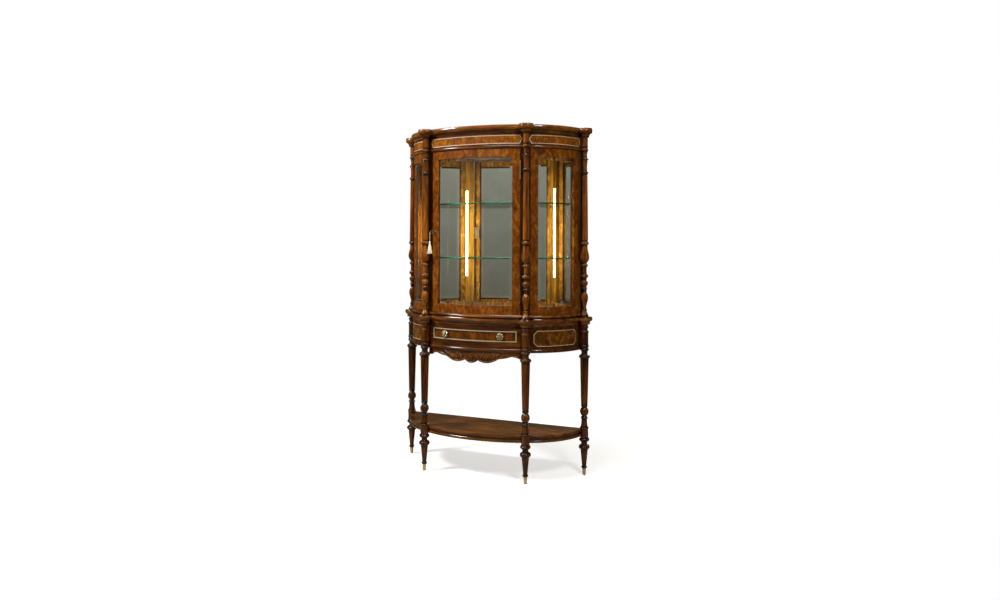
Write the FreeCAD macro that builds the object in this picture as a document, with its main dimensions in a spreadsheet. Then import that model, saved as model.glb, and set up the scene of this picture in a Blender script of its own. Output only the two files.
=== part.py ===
import FreeCAD, Part
import Sketcher
import math
import os

# Bow-fronted glazed display cabinet on a four-legged console stand.
# Millimetres, +Z up, front towards -Y, origin on the floor under the middle of the plan.
# The plan is three bowed bays: a centre bay between the front columns and a side bay each side.
# "Setback" is the distance of a face behind the arc that joins the column axes of its bay.

SIZES = {
    # Plan of the column axes
    "back_half_span": 539.0,
    "front_half_span": 301.0,
    "column_depth": 282.0,
    "centre_bow": 62.0,
    "side_bow": 50.0,
    "back_margin": 30.0,
    # Moulded boards
    "total_height": 1900.0,
    "moulding_setback": 10.0,
    "lobe_radius": 43.0,
    "board_core_setback": 50.0,
    "bay_overlap": 10.0,
    "edge_round": 3.0,
    "edge_relief": 3.0,
    "crown_slab": 26.0,
    "crown_cove": 22.0,
    "crown_cove_reach": 18.0,
    "cove_hollow": 4.0,
    "waist_height": 866.0,
    "waist_thumb": 20.0,
    "waist_cove": 20.0,
    "waist_cove_reach": 12.0,
    "plinth_thickness": 18.0,
    "plinth_setback": 15.0,
    "plinth_round": 5.0,
    "shelf_top": 250.0,
    "shelf_thickness": 38.0,
    "shelf_band": 14.0,
    "shelf_groove": 3.0,
    "shelf_groove_depth": 5.0,
    "shelf_back_reach": 20.0,
    # Crown frieze
    "crown_frieze_height": 59.0,
    "crown_frieze_setback": 26.0,
    "frieze_thickness": 18.0,
    "crown_bead": 18.0,
    "crown_bead_round": 6.0,
    "frieze_mitre_gap": 1.0,
    # Base frieze, drawer opening and apron
    "base_frieze_height": 120.0,
    "base_setback": 24.0,
    "base_thickness": 24.0,
    "base_bead": 21.0,
    "base_bead_round": 6.0,
    "leg_block_width": 44.0,
    "leg_neck_width": 24.0,
    "joint_gap": 0.6,
    "back_rail_thickness": 20.0,
    "apron_setback": 26.0,
    "apron_thickness": 18.0,
    "apron_drop": 63.0,
    "apron_notch_at": 36.0,
    "apron_notch_rise": 19.0,
    "apron_shell_round": 18.0,
    "apron_shoulder_at": 150.0,
    "apron_shoulder_rise": 28.0,
    "apron_leaf_round": 19.0,
    "apron_crest_at": 222.0,
    "apron_crest_rise": 42.0,
    "apron_crest_hollow": 3.0,
    "apron_end_at": 262.0,
    "apron_end_rise": 30.0,
    # Case
    "frame_setback": 27.0,
    "frame_thickness": 22.0,
    "frame_lip": 11.0,
    "stile_width": 41.0,
    "rebate_width": 8.0,
    "glass_thickness": 5.0,
    "fit_play": 0.2,
    "door_edge_offset": 32.0,
    "door_gap": 2.5,
    "door_end_gap": 3.0,
    "door_bottom_rail": 48.0,
    "door_top_rail": 41.0,
    "side_front_offset": 23.0,
    "side_back_offset": 27.0,
    "side_bottom_rail": 46.0,
    "side_top_rail": 46.0,
    "post_depth": 45.0,
    "back_thickness": 12.0,
    "mirror_thickness": 5.0,
    "ceiling_play": 0.3,
    "upper_shelf_height": 1490.0,
    "lower_shelf_height": 1191.0,
    "glass_shelf_thickness": 8.0,
    "glass_shelf_setback": 80.0,
    "glass_shelf_back_gap": 2.0,
    "shelf_pin_radius": 3.0,
    "shelf_pin_bearing": 8.0,
    "shelf_pin_offset": 9.0,
    "shelf_pin_mirror_gap": 4.0,
    "led_width": 12.0,
    "led_depth": 6.0,
    "led_bottom": 1070.0,
    "led_length": 520.0,
    "led_offset": 14.0,
    "grommet_radius": 10.0,
    "grommet_wall": 2.5,
    "grommet_flange": 3.5,
    "grommet_flange_thickness": 2.0,
    "grommet_inset": 139.0,
    "grommet_height": 60.0,
    # Hinges
    "hinge_length": 100.0,
    "hinge_end_margin": 62.0,
    "hinge_leaf_thickness": 1.1,
    "hinge_leaf_inset": 2.0,
    "hinge_leaf_seat": 0.1,
    "hinge_barrel_radius": 3.6,
    "hinge_barrel_proud": 3.8,
    "hinge_pin_radius": 1.6,
    "hinge_running_fit": 0.05,
    "hinge_knuckle_gap": 0.4,
    "hinge_knuckle": 34.0,
    # Lock, key and tassel
    "key_height": 1328.0,
    "key_edge_offset": 15.0,
    "lock_width": 28.0,
    "lock_length": 70.0,
    "lock_below_key": 30.0,
    "lock_depth": 9.0,
    "lock_wall": 1.2,
    "lock_edge_inset": 0.6,
    "bolt_height": 12.0,
    "bolt_above_key": 12.0,
    "bolt_thickness": 5.0,
    "bolt_length": 20.0,
    "bolt_back_gap": 1.5,
    "bolt_throw": 8.5,
    "bolt_play": 0.5,
    "strike_thickness": 1.0,
    "strike_margin": 9.0,
    "strike_seat": 0.15,
    "key_shank_radius": 2.4,
    "key_collar_radius": 4.0,
    "key_collar_length": 3.0,
    "key_collar_out": 9.0,
    "key_ring_radius": 12.0,
    "key_ring_bore": 8.0,
    "key_thickness": 3.0,
    "key_bit_length": 5.0,
    "key_bit_drop": 9.0,
    "keyhole_play": 0.08,
    "keyhole_slot": 3.2,
    "escutcheon_radius": 9.0,
    "escutcheon_thickness": 1.2,
    "cord_radius": 1.0,
    "tassel_head_radius": 5.0,
    "tassel_neck_radius": 3.6,
    "tassel_skirt_radius": 14.0,
    "tassel_skirt_length": 60.0,
    # Drawer
    "drawer_half_width": 247.0,
    "drawer_height": 58.0,
    "drawer_top_margin": 26.0,
    "drawer_gap": 1.0,
    "drawer_recess": 4.0,
    "drawer_front_thickness": 18.0,
    "drawer_bead_width": 5.0,
    "drawer_bead_proud": 2.0,
    "drawer_board": 10.0,
    "drawer_side_play": 2.0,
    "drawer_side_inset": 5.0,
    "drawer_length": 224.0,
    "drawer_bottom_thickness": 5.0,
    "drawer_bottom_inset": 3.0,
    "runner_width": 22.0,
    "runner_height": 18.0,
    "runner_play": 0.3,
    "knob_at": 162.0,
    "knob_radius": 21.0,
    "knob_stem_radius": 5.0,
    "knob_foot_radius": 7.5,
    "knob_stem_length": 9.0,
    "knob_rim": 4.0,
    "knob_dome": 9.0,
    # Ferrules
    "ferrule_height": 36.0,
    "ferrule_top_radius": 10.5,
    "ferrule_toe_radius": 8.0,
    "ferrule_floor": 3.0,
    "ferrule_pin_radius": 6.0,
    "ferrule_play": 0.25,
    # Flutes of the turned shafts
    "leg_flute_radius": 3.4,
    "leg_flute_sunk": 1.0,
    "leg_flute_margin": 8.0,
    "column_flute_radius": 3.0,
    "column_flute_sunk": 0.9,
    "column_flute_margin": 8.0,
    "turned_clearance": 0.3,
}

LEG_FLUTES = 10
COLUMN_FLUTES = 9

# Turned profiles, from the bottom up: level that the height is counted from, name, height,
# radius, and how far the line up from the previous point swells (+) or hollows (-).
LEG_TURNINGS = [
    ("foot", "ankle", 2.0, 9.5, 0.0),
    ("foot", "ankle_ring_low", 3.0, 11.5, 0.0),
    ("foot", "ankle_ring_high", 12.0, 11.5, 3.2),
    ("foot", "taper_low", 14.0, 11.5, 0.0),
    ("shelf_under", "taper_high", -72.0, 20.0, 0.0),
    ("shelf_under", "flange_low", -69.0, 22.0, 0.0),
    ("shelf_under", "flange_high", -46.0, 22.0, 8.0),
    ("shelf_under", "neck_low", -42.0, 17.0, -0.8),
    ("shelf_under", "neck_high", -30.0, 17.0, -1.5),
    ("shelf_under", "cushion_low", -25.0, 24.0, 0.0),
    ("shelf_under", "cushion_high", -9.0, 23.0, 4.5),
    ("shelf_under", "drum_low", -7.0, 22.0, 0.0),
    ("shelf_top", "drum_high", 3.0, 22.0, 0.0),
    ("shelf_top", "collar_low", 3.5, 22.0, 0.0),
    ("shelf_top", "collar_high", 12.5, 22.0, 2.6),
    ("shelf_top", "bell_low", 14.0, 20.0, 0.0),
    ("shelf_top", "bell_high", 57.0, 16.0, -1.5),
    ("shelf_top", "bell_ring_low", 58.0, 16.5, 0.0),
    ("shelf_top", "bell_ring_high", 69.0, 16.5, 3.2),
    ("shelf_top", "bulb_low", 73.0, 13.0, -0.8),
    ("shelf_top", "bulb_high", 121.0, 14.0, 9.0),
    ("shelf_top", "shaft_ring_low", 124.0, 15.5, 0.0),
    ("shelf_top", "shaft_ring_high", 134.0, 15.5, 3.2),
    ("shelf_top", "shaft_low", 136.0, 18.0, 0.0),
    ("base_bottom", "shaft_high", -49.0, 23.5, 0.0),
    ("base_bottom", "capital_low", -46.0, 23.0, 0.0),
    ("base_bottom", "capital_high", -26.0, 22.0, 7.6),
    ("base_bottom", "throat_low", -22.0, 18.0, -0.8),
    ("base_bottom", "throat_high", -7.0, 18.0, -1.2),
    ("base_bottom", "lower_ring_low", -5.0, 20.0, 0.0),
    ("base_bottom", "lower_ring_high", 9.0, 20.0, 3.6),
    ("base_bottom", "middle_ring_low", 13.0, 20.5, -0.8),
    ("base_bottom", "middle_ring_high", 28.0, 20.5, 3.4),
    ("base_bottom", "frieze_drum_low", 30.0, 21.0, 0.0),
    ("console_under", "frieze_drum_high", -50.0, 21.0, 0.0),
    ("console_under", "upper_ring_low", -48.0, 20.5, 0.0),
    ("console_under", "upper_ring_high", -35.0, 20.5, 3.2),
    ("console_under", "top_neck_low", -31.0, 17.5, -0.6),
    ("console_under", "top_neck_high", -24.0, 17.5, 0.0),
    ("console_under", "top_ring_low", -22.0, 18.5, 0.0),
    ("console_under", "top_ring_high", -8.0, 18.5, 3.4),
    ("console_under", "top", 0.0, 21.0, -1.0),
]

COLUMN_TURNINGS = [
    ("waist", "base", 0.0, 21.5, 0.0),
    ("waist", "base_ring_high", 9.0, 21.5, 0.4),
    ("waist", "base_cone_low", 12.0, 20.0, 0.0),
    ("waist", "base_cone_high", 34.0, 12.0, -2.0),
    ("waist", "base_collar_low", 36.0, 12.5, 0.0),
    ("waist", "base_collar_high", 43.0, 12.5, 2.2),
    ("waist", "lower_vase_low", 47.0, 9.0, -0.6),
    ("waist", "lower_vase_wide", 100.0, 17.5, -1.6),
    ("waist", "lower_vase_high", 136.0, 9.0, 3.6),
    ("waist", "small_ring_low", 141.0, 10.5, 0.0),
    ("waist", "small_ring_high", 149.0, 10.5, 2.2),
    ("waist", "second_ring_low", 152.0, 11.0, 0.0),
    ("waist", "second_ring_high", 164.0, 11.0, 3.6),
    ("waist", "cup_low", 168.0, 10.5, -0.5),
    ("waist", "cup_wide", 190.0, 18.0, 2.4),
    ("waist", "cup_high", 196.0, 14.0, 1.2),
    ("waist", "waist_neck_low", 203.0, 11.0, -1.0),
    ("waist", "waist_neck_high", 212.0, 11.5, -0.5),
    ("waist", "waist_ring_low", 214.0, 14.0, 0.0),
    ("waist", "waist_ring_high", 235.0, 14.0, 5.4),
    ("waist", "spool_low", 241.0, 11.5, -1.2),
    ("waist", "spool_high", 272.0, 11.5, -0.8),
    ("waist", "vase_ring_low", 276.0, 14.0, -0.6),
    ("waist", "vase_ring_high", 290.0, 14.0, 4.4),
    ("waist", "vase_low", 297.0, 12.0, -1.0),
    ("waist", "vase_wide", 326.0, 22.5, 3.0),
    ("waist", "vase_high", 388.0, 15.5, -1.2),
    ("waist", "shaft_ring_low", 395.0, 16.5, -0.8),
    ("waist", "shaft_ring_high", 415.0, 16.5, 5.6),
    ("waist", "shaft_low", 417.0, 18.0, 0.0),
    ("crown_under", "shaft_high", -202.0, 14.5, 0.0),
    ("crown_under", "necking_low", -200.0, 15.5, 0.0),
    ("crown_under", "necking_high", -188.0, 15.5, 4.6),
    ("crown_under", "bell_low", -184.0, 13.5, -0.6),
    ("crown_under", "bell_high", -127.0, 15.5, -1.6),
    ("crown_under", "bell_ring_low", -125.0, 15.0, 0.0),
    ("crown_under", "bell_ring_high", -115.0, 15.0, 4.0),
    ("crown_under", "upper_bell_low", -111.0, 13.0, -0.6),
    ("crown_under", "upper_bell_high", -78.0, 15.5, -1.6),
    ("crown_under", "bead_ring_low", -76.0, 14.5, 0.0),
    ("crown_under", "bead_ring_high", -60.0, 14.5, 4.4),
    ("crown_under", "drum_low", -57.0, 16.5, 0.0),
    ("crown_under", "drum_high", -6.0, 16.5, 0.0),
    ("crown_under", "top", 0.0, 19.5, -1.2),
]

# Sizes that follow from the driving ones.
PLAN = {
    "bow_rad": "(Sizes.front_half_span^2 + Sizes.centre_bow^2) / (2 * Sizes.centre_bow)",
    "back_y": "(Sizes.column_depth + Sizes.centre_bow - Sizes.moulding_setback + Sizes.back_margin) / 2",
    "rear_axis_y": "back_y - Sizes.back_margin",
    "front_axis_y": "rear_axis_y - Sizes.column_depth",
    "bow_y": "front_axis_y - Sizes.centre_bow + bow_rad",
    "bow_span": "asin(Sizes.front_half_span / bow_rad)",
    "chord": "sqrt((Sizes.back_half_span - Sizes.front_half_span)^2 + Sizes.column_depth^2)",
    "side_rad": "(chord^2 / 4 + Sizes.side_bow^2) / (2 * Sizes.side_bow)",
    "side_x": "(Sizes.back_half_span + Sizes.front_half_span) / 2"
              " - (side_rad - Sizes.side_bow) * Sizes.column_depth / chord",
    "side_y": "(front_axis_y + rear_axis_y) / 2"
              " + (side_rad - Sizes.side_bow) * (Sizes.back_half_span - Sizes.front_half_span) / chord",
    "side_start": "atan((Sizes.front_half_span - side_x) / (side_y - front_axis_y))",
    "side_end": "90 deg - atan((side_y - rear_axis_y) / (Sizes.back_half_span - side_x))",
    "corner_angle": "(bow_span + side_start) / 2",
    "bow_overlap": "Sizes.bay_overlap / bow_rad * 1 rad",
    "side_overlap": "Sizes.bay_overlap / side_rad * 1 rad",
    # Levels
    "foot": "Sizes.ferrule_height",
    "waist": "Sizes.waist_height",
    "shelf_top": "Sizes.shelf_top",
    "shelf_under": "Sizes.shelf_top - Sizes.shelf_thickness",
    "console_under": "Sizes.waist_height - Sizes.waist_thumb - Sizes.waist_cove",
    "base_under": "console_under - Sizes.base_frieze_height",
    "base_bottom": "base_under - Sizes.base_bead",
    "plinth_top": "Sizes.waist_height + Sizes.plinth_thickness",
    "crown_under": "Sizes.total_height - Sizes.crown_slab - Sizes.crown_cove",
    "frieze_under": "crown_under - Sizes.crown_frieze_height",
    "case_top": "frieze_under - Sizes.crown_bead",
    # Frames
    "frame_back": "Sizes.frame_setback + Sizes.frame_thickness",
    "glass_setback": "Sizes.frame_setback + Sizes.frame_lip + Sizes.fit_play",
    "bead_setback": "glass_setback + Sizes.glass_thickness + Sizes.fit_play",
    "post_back": "Sizes.frame_setback + Sizes.post_depth",
    "door_face_rad": "bow_rad - Sizes.frame_setback",
    "side_face_rad": "side_rad - Sizes.frame_setback",
    "door_half": "bow_span - Sizes.door_edge_offset / door_face_rad * 1 rad",
    "door_gap_angle": "Sizes.door_gap / door_face_rad * 1 rad",
    "door_under": "plinth_top + Sizes.door_end_gap",
    "door_top": "case_top - Sizes.door_end_gap",
    "side_frame_start": "side_start + Sizes.side_front_offset / side_face_rad * 1 rad",
    "side_frame_end": "side_end - Sizes.side_back_offset / side_face_rad * 1 rad",
    "side_joint": "Sizes.fit_play / side_face_rad * 1 rad",
    "mirror_y": "back_y - Sizes.back_thickness - Sizes.mirror_thickness",
    "shelf_pin_tip": "Sizes.glass_shelf_setback + Sizes.shelf_pin_bearing",
    "back_pin_angle": "acos((side_y - mirror_y + Sizes.shelf_pin_radius + Sizes.shelf_pin_mirror_gap)"
                      " / (side_rad - shelf_pin_tip))",
    "back_half": "side_x - Sizes.ceiling_play + sqrt((side_rad - post_back)^2"
                 " - (side_y - mirror_y)^2)",
    # Base frieze and drawer
    "base_back": "Sizes.base_setback + Sizes.base_thickness",
    "block_half": "Sizes.leg_block_width / 2 + Sizes.joint_gap",
    "rail_half": "bow_span - block_half / (bow_rad - base_back) * 1 rad",
    "panel_start": "side_start + block_half / (side_rad - Sizes.base_setback) * 1 rad",
    "panel_end": "side_end - block_half / (side_rad - base_back) * 1 rad",
    "drawer_half": "asin(Sizes.drawer_half_width / (bow_rad - Sizes.base_setback))",
    "drawer_gap_angle": "Sizes.drawer_gap / (bow_rad - Sizes.base_setback) * 1 rad",
    "drawer_top": "console_under - Sizes.drawer_top_margin",
    "drawer_under": "drawer_top - Sizes.drawer_height",
    "drawer_face": "Sizes.base_setback + Sizes.drawer_recess",
    "drawer_back_face": "drawer_face + Sizes.drawer_front_thickness",
    "drawer_side_x": "(bow_rad - base_back) * sin(drawer_half) - Sizes.drawer_side_play",
    "drawer_front_y": "bow_y + Sizes.joint_gap - sqrt((bow_rad - drawer_back_face)^2 - drawer_side_x^2)",
    "drawer_rear_y": "drawer_front_y + Sizes.drawer_length",
    "drawer_side_under": "drawer_under + Sizes.drawer_side_inset",
    "drawer_side_top": "drawer_top - Sizes.drawer_side_inset",
    "drawer_floor_under": "drawer_side_under + Sizes.drawer_bottom_inset",
    "drawer_floor_top": "drawer_floor_under + Sizes.drawer_bottom_thickness",
    "runner_front_y": "bow_y + Sizes.joint_gap - sqrt((bow_rad - base_back)^2"
                      " - (drawer_side_x + Sizes.drawer_board)^2)",
    "runner_top": "drawer_side_under - Sizes.runner_play",
    "back_rail_y": "rear_axis_y - Sizes.back_rail_thickness / 2",
    "block_reach": "base_back - Sizes.joint_gap",
    # Lock
    "stile_back_rad": "bow_rad - frame_back",
    "lock_sag": "stile_back_rad - sqrt(stile_back_rad^2 - (Sizes.lock_edge_inset + Sizes.lock_width)^2)",
    "lock_setback": "frame_back + lock_sag + Sizes.ceiling_play",
    "bolt_setback": "lock_setback + Sizes.bolt_back_gap",
    "bolt_under": "Sizes.key_height + Sizes.bolt_above_key",
    "key_ring_out": "Sizes.key_collar_out + Sizes.key_collar_length + Sizes.key_ring_bore",
    "key_end_out": "key_ring_out + Sizes.key_ring_radius",
    "key_tip": "lock_setback - Sizes.frame_setback + Sizes.lock_depth - Sizes.lock_wall - Sizes.bolt_play",
}

# Centre and radius of each bay's arc.
BAYS = {
    "centre": ("0", "Plan.bow_y", "Plan.bow_rad"),
    "right": ("Plan.side_x", "Plan.side_y", "Plan.side_rad"),
    "left": ("-Plan.side_x", "Plan.side_y", "Plan.side_rad"),
}

FULL_TURN = "360 deg"
QUARTER_SWELL = 0.293
FAR = "2 * Sizes.total_height"

doc = FreeCAD.newDocument("DisplayCabinet")
nodes = []


def fill_sheet(name, cells, formula):
    """Write named cells to a sheet, one row each."""
    sheet = doc.addObject("Spreadsheet::Sheet", name)
    for row, (alias, content) in enumerate(cells.items(), 1):
        sheet.set(f"A{row}", alias)
        sheet.set(f"B{row}", formula + str(content))
        sheet.setAlias(f"B{row}", alias)
    return sheet


def turning_cells(prefix, turnings):
    """Cells for the heights, radii and swells of a turned profile."""
    cells = {}
    for _level, name, height, radius, swell in turnings:
        cells[f"{prefix}_{name}_height"] = height
        cells[f"{prefix}_{name}_radius"] = radius
        if swell:
            cells[f"{prefix}_{name}_swell"] = swell
    return cells


def turning_corners(prefix, turnings):
    """Corners of a turned profile as expressions of radius, height and swell."""
    corners = []
    for level, name, _height, _radius, swell in turnings:
        cell = f"Sizes.{prefix}_{name}"
        bulge = f"{cell}_swell" if swell else None
        corners.append((f"{cell}_radius", f"Plan.{level} + {cell}_height", bulge))
    return corners


sizes = fill_sheet("Sizes", {**SIZES, **turning_cells("leg", LEG_TURNINGS),
                             **turning_cells("column", COLUMN_TURNINGS)}, "")
plan = fill_sheet("Plan", PLAN, "=")
doc.recompute()


def value(expression):
    """Number that an expression of the sheets comes to."""
    result = plan.evalExpression(expression)
    return getattr(result, "Value", result)


def node(obj, label):
    """Name a finished piece and list it for writing out."""
    obj.Label = label
    nodes.append(obj)
    return obj


def new_body(name):
    return doc.addObject("PartDesign::Body", name)


def origin_feature(body, role):
    return next(item for item in body.Origin.OriginFeatures if item.Role == role)


def bind(obj, **expressions):
    """Bind properties to expressions; a double underscore in a name stands for a dot."""
    for name, expression in expressions.items():
        obj.setExpression(name.replace("__", "."), expression)


def new_sketch(body, plane):
    sketch = body.newObject("Sketcher::SketchObject", "Outline")
    sketch.AttachmentSupport = (origin_feature(body, plane), [""])
    sketch.MapMode = "FlatFace"
    return sketch


def draw_outline(sketch, corners):
    """Closed outline through corners (across, up, swell of the side that arrives there)."""
    points = [FreeCAD.Vector(value(across), value(up), 0) for across, up, *_ in corners]
    swells = [corner[2] if len(corner) > 2 else None for corner in corners]
    count = len(points)
    for index, start in enumerate(points):
        end = points[(index + 1) % count]
        swell = swells[(index + 1) % count]
        if swell is None:
            sketch.addGeometry(Part.LineSegment(start, end), False)
            continue
        run = end - start
        side = FreeCAD.Vector(run.y, -run.x, 0).normalize()
        bulge = value(swell)
        middle = (start + end) * 0.5 + side * bulge
        arc = Part.Arc(start, middle, end) if bulge > 0 else Part.Arc(end, middle, start)
        sketch.addGeometry(arc, False)
    constrain_outline(sketch, corners, points, swells)


def arc_centre(start, end, swell, steep):
    """Rule for the centre of a swelled side: its place across for a steep side, else its height."""
    across = f"({end[0]} - ({start[0]}))"
    rise = f"({end[1]} - ({start[1]}))"
    run = f"sqrt({across}^2 + {rise}^2)"
    slope = f"(({swell}) / (2 * {run}) - {run} / (8 * ({swell})))"
    if steep:
        return "DistanceX", f"({start[0]} + {end[0]}) / 2 + {rise} * {slope}"
    return "DistanceY", f"({start[1]} + {end[1]}) / 2 - {across} * {slope}"


def constrain_outline(sketch, corners, points, swells):
    """Tie every corner to its expressions and every arc to its swell."""
    count = len(points)
    heads = []
    for index, point in enumerate(points):
        forward = (sketch.Geometry[index].StartPoint - point).Length < 1e-6
        heads.append(1 if forward else 2)
    rules = []
    bound = []
    for index in range(count):
        after = (index + 1) % count
        rules.append(Sketcher.Constraint("Coincident", index, 3 - heads[index], after, heads[after]))
    for index, (across, up, *_) in enumerate(corners):
        for kind, axis, expression, number in (("DistanceX", -2, across, points[index].x),
                                               ("DistanceY", -1, up, points[index].y)):
            if expression == "0":
                rules.append(Sketcher.Constraint("PointOnObject", index, heads[index], axis))
                continue
            bound.append((len(rules), f"{kind}{index}", expression))
            rules.append(Sketcher.Constraint(kind, -1, 1, index, heads[index], number))
    for index in range(count):
        after = (index + 1) % count
        if swells[after] is None:
            continue
        run = points[after] - points[index]
        kind, expression = arc_centre(corners[index], corners[after], swells[after], abs(run.y) > abs(run.x))
        bound.append((len(rules), f"Centre{index}", expression))
        rules.append(Sketcher.Constraint(kind, -1, 1, index, 3, value(expression)))
    sketch.addConstraint(rules)
    for number, name, expression in bound:
        sketch.renameConstraint(number, name)
        sketch.setExpression(f"Constraints.{name}", expression)


def pad(body, plane, corners, under, top):
    """Pad an outline in plan between two heights."""
    sketch = new_sketch(body, plane)
    draw_outline(sketch, corners)
    return raise_pad(body, sketch, under, top)


def raise_pad(body, sketch, under, top):
    bind(sketch, AttachmentOffset__Base__z=under)
    feature = body.newObject("PartDesign::Pad", "Pad")
    feature.Profile = (sketch, [""])
    bind(feature, Length=f"({top}) - ({under})")
    return feature


def pocket_through(body, sketch):
    """Cut an outline right through the body, both ways."""
    feature = body.newObject("PartDesign::Pocket", "Pocket")
    feature.Profile = (sketch, [""])
    feature.Midplane = True
    bind(feature, Length=FAR)
    return feature


def trim_behind(body, y):
    """Cut away everything behind a plane across the back."""
    wide = "2 * Sizes.back_half_span"
    sketch = new_sketch(body, "XY_Plane")
    draw_outline(sketch, [(f"-{wide}", y), (wide, y), (wide, f"{y} + {wide}"), (f"-{wide}", f"{y} + {wide}")])
    pocket_through(body, sketch)


def drill(body, places, radius):
    """Cut upright round holes through the body."""
    for x, y in places:
        sketch = new_sketch(body, "XY_Plane")
        centre = FreeCAD.Vector(value(x), value(y), 0)
        sketch.addGeometry(Part.Circle(centre, FreeCAD.Vector(0, 0, 1), value(radius)))
        sketch.addConstraint([Sketcher.Constraint("DistanceX", -1, 1, 0, 3, value(x)),
                              Sketcher.Constraint("DistanceY", -1, 1, 0, 3, value(y)),
                              Sketcher.Constraint("Radius", 0, value(radius))])
        for number, (name, expression) in enumerate((("AtX", x), ("AtY", y), ("Round", radius))):
            sketch.renameConstraint(number, name)
            sketch.setExpression(f"Constraints.{name}", expression)
        pocket_through(body, sketch)


def revolve(body, sketch, angle):
    feature = body.newObject("PartDesign::Revolution", "Revolution")
    feature.Profile = (sketch, [""])
    feature.ReferenceAxis = (sketch, ["V_Axis"])
    bind(feature, Angle=angle)
    return feature


def mirrored(start, end):
    return f"-({end})", f"-({start})"


def sector(body, bay, start, end, corners):
    """Add a bowed length: a section of (setback, height) turned about a bay's centre.

    Angles are counted from straight ahead, towards the cabinet's outer side in a side bay.
    """
    centre_x, centre_y, radius = BAYS[bay]
    if bay == "left":
        start, end = mirrored(start, end)
    sketch = new_sketch(body, "XZ_Plane")
    upright = FreeCAD.Rotation(FreeCAD.Vector(0, 1, 0), 1)
    sketch.AttachmentOffset = FreeCAD.Placement(FreeCAD.Vector(), upright)
    bind(sketch, AttachmentOffset__Base__x=centre_x, AttachmentOffset__Base__z=f"-({centre_y})",
         AttachmentOffset__Rotation__Angle=f"-90 deg + {start}")
    draw_outline(sketch, [(f"{radius} - ({corner[0]})", *corner[1:]) for corner in corners])
    return revolve(body, sketch, f"{end} - ({start})")


def bar(near, far, under, top):
    """Plain rectangular section between two setbacks and two heights."""
    return [(far, under), (near, under), (near, top), (far, top)]


def turned(body, corners, plane="XZ_Plane"):
    """Solid of revolution: about the upright axis, or about the Y axis from the XY plane."""
    sketch = new_sketch(body, plane)
    draw_outline(sketch, [("0", corners[0][1]), *corners, ("0", corners[-1][1])])
    return revolve(body, sketch, FULL_TURN)


def place(obj, x, y, z, angle="0 deg"):
    """Bind a piece's place and its turn about the upright axis."""
    obj.Placement = FreeCAD.Placement(FreeCAD.Vector(), FreeCAD.Rotation(FreeCAD.Vector(0, 0, 1), 1))
    bind(obj, Placement__Base__x=x, Placement__Base__y=y, Placement__Base__z=z,
         Placement__Rotation__Angle=angle)
    return obj


def place_in_bay(obj, bay, angle, across, setback, height):
    """Place a piece in a bay's own axes: across to the right, Y inwards from the setback."""
    centre_x, centre_y, radius = BAYS[bay]
    reach = f"({radius} - ({setback}))"
    x = f"{centre_x} + cos({angle}) * ({across}) + sin({angle}) * {reach}"
    y = f"{centre_y} + sin({angle}) * ({across}) - cos({angle}) * {reach}"
    return place(obj, x, y, height, angle)


def box(name, length, width, height):
    obj = doc.addObject("Part::Box", name)
    bind(obj, Length=length, Width=width, Height=height)
    return obj


def block(name, x0, x1, y0, y1, z0, z1):
    """Upright box between two corners."""
    return place(box(name, f"({x1}) - ({x0})", f"({y1}) - ({y0})", f"({z1}) - ({z0})"), x0, y0, z0)


def bay_block(name, bay, angle, across, setback, height):
    """Box in a bay's own axes; each argument is a (from, to) pair."""
    spans = [f"({high}) - ({low})" for low, high in (across, setback, height)]
    return place_in_bay(box(name, *spans), bay, angle, across[0], setback[0], height[0])


def cylinder(name, radius, height):
    obj = doc.addObject("Part::Cylinder", name)
    bind(obj, Radius=radius, Height=height)
    return obj


def fuse(name, members):
    obj = doc.addObject("Part::MultiFuse", name)
    obj.Shapes = members
    return obj


def cut(name, base, tool):
    obj = doc.addObject("Part::Cut", name)
    obj.Base = base
    obj.Tool = tool
    return obj


def group(label, members):
    """Like pieces that share one node, each its own solid."""
    obj = doc.addObject("Part::Compound", label)
    obj.Links = members
    return node(obj, label)


def circle_meeting(first, second):
    """Front crossing of two circles given as (x, y, radius)."""
    dx = second[0] - first[0]
    dy = second[1] - first[1]
    gap = (dx * dx + dy * dy) ** 0.5
    along = (gap * gap + first[2] ** 2 - second[2] ** 2) / (2 * gap)
    off = (first[2] ** 2 - along * along) ** 0.5
    crossings = []
    for sign in (1, -1):
        crossings.append((first[0] + (along * dx - sign * off * dy) / gap,
                          first[1] + (along * dy + sign * off * dx) / gap))
    return min(crossings, key=lambda point: point[1])


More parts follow.
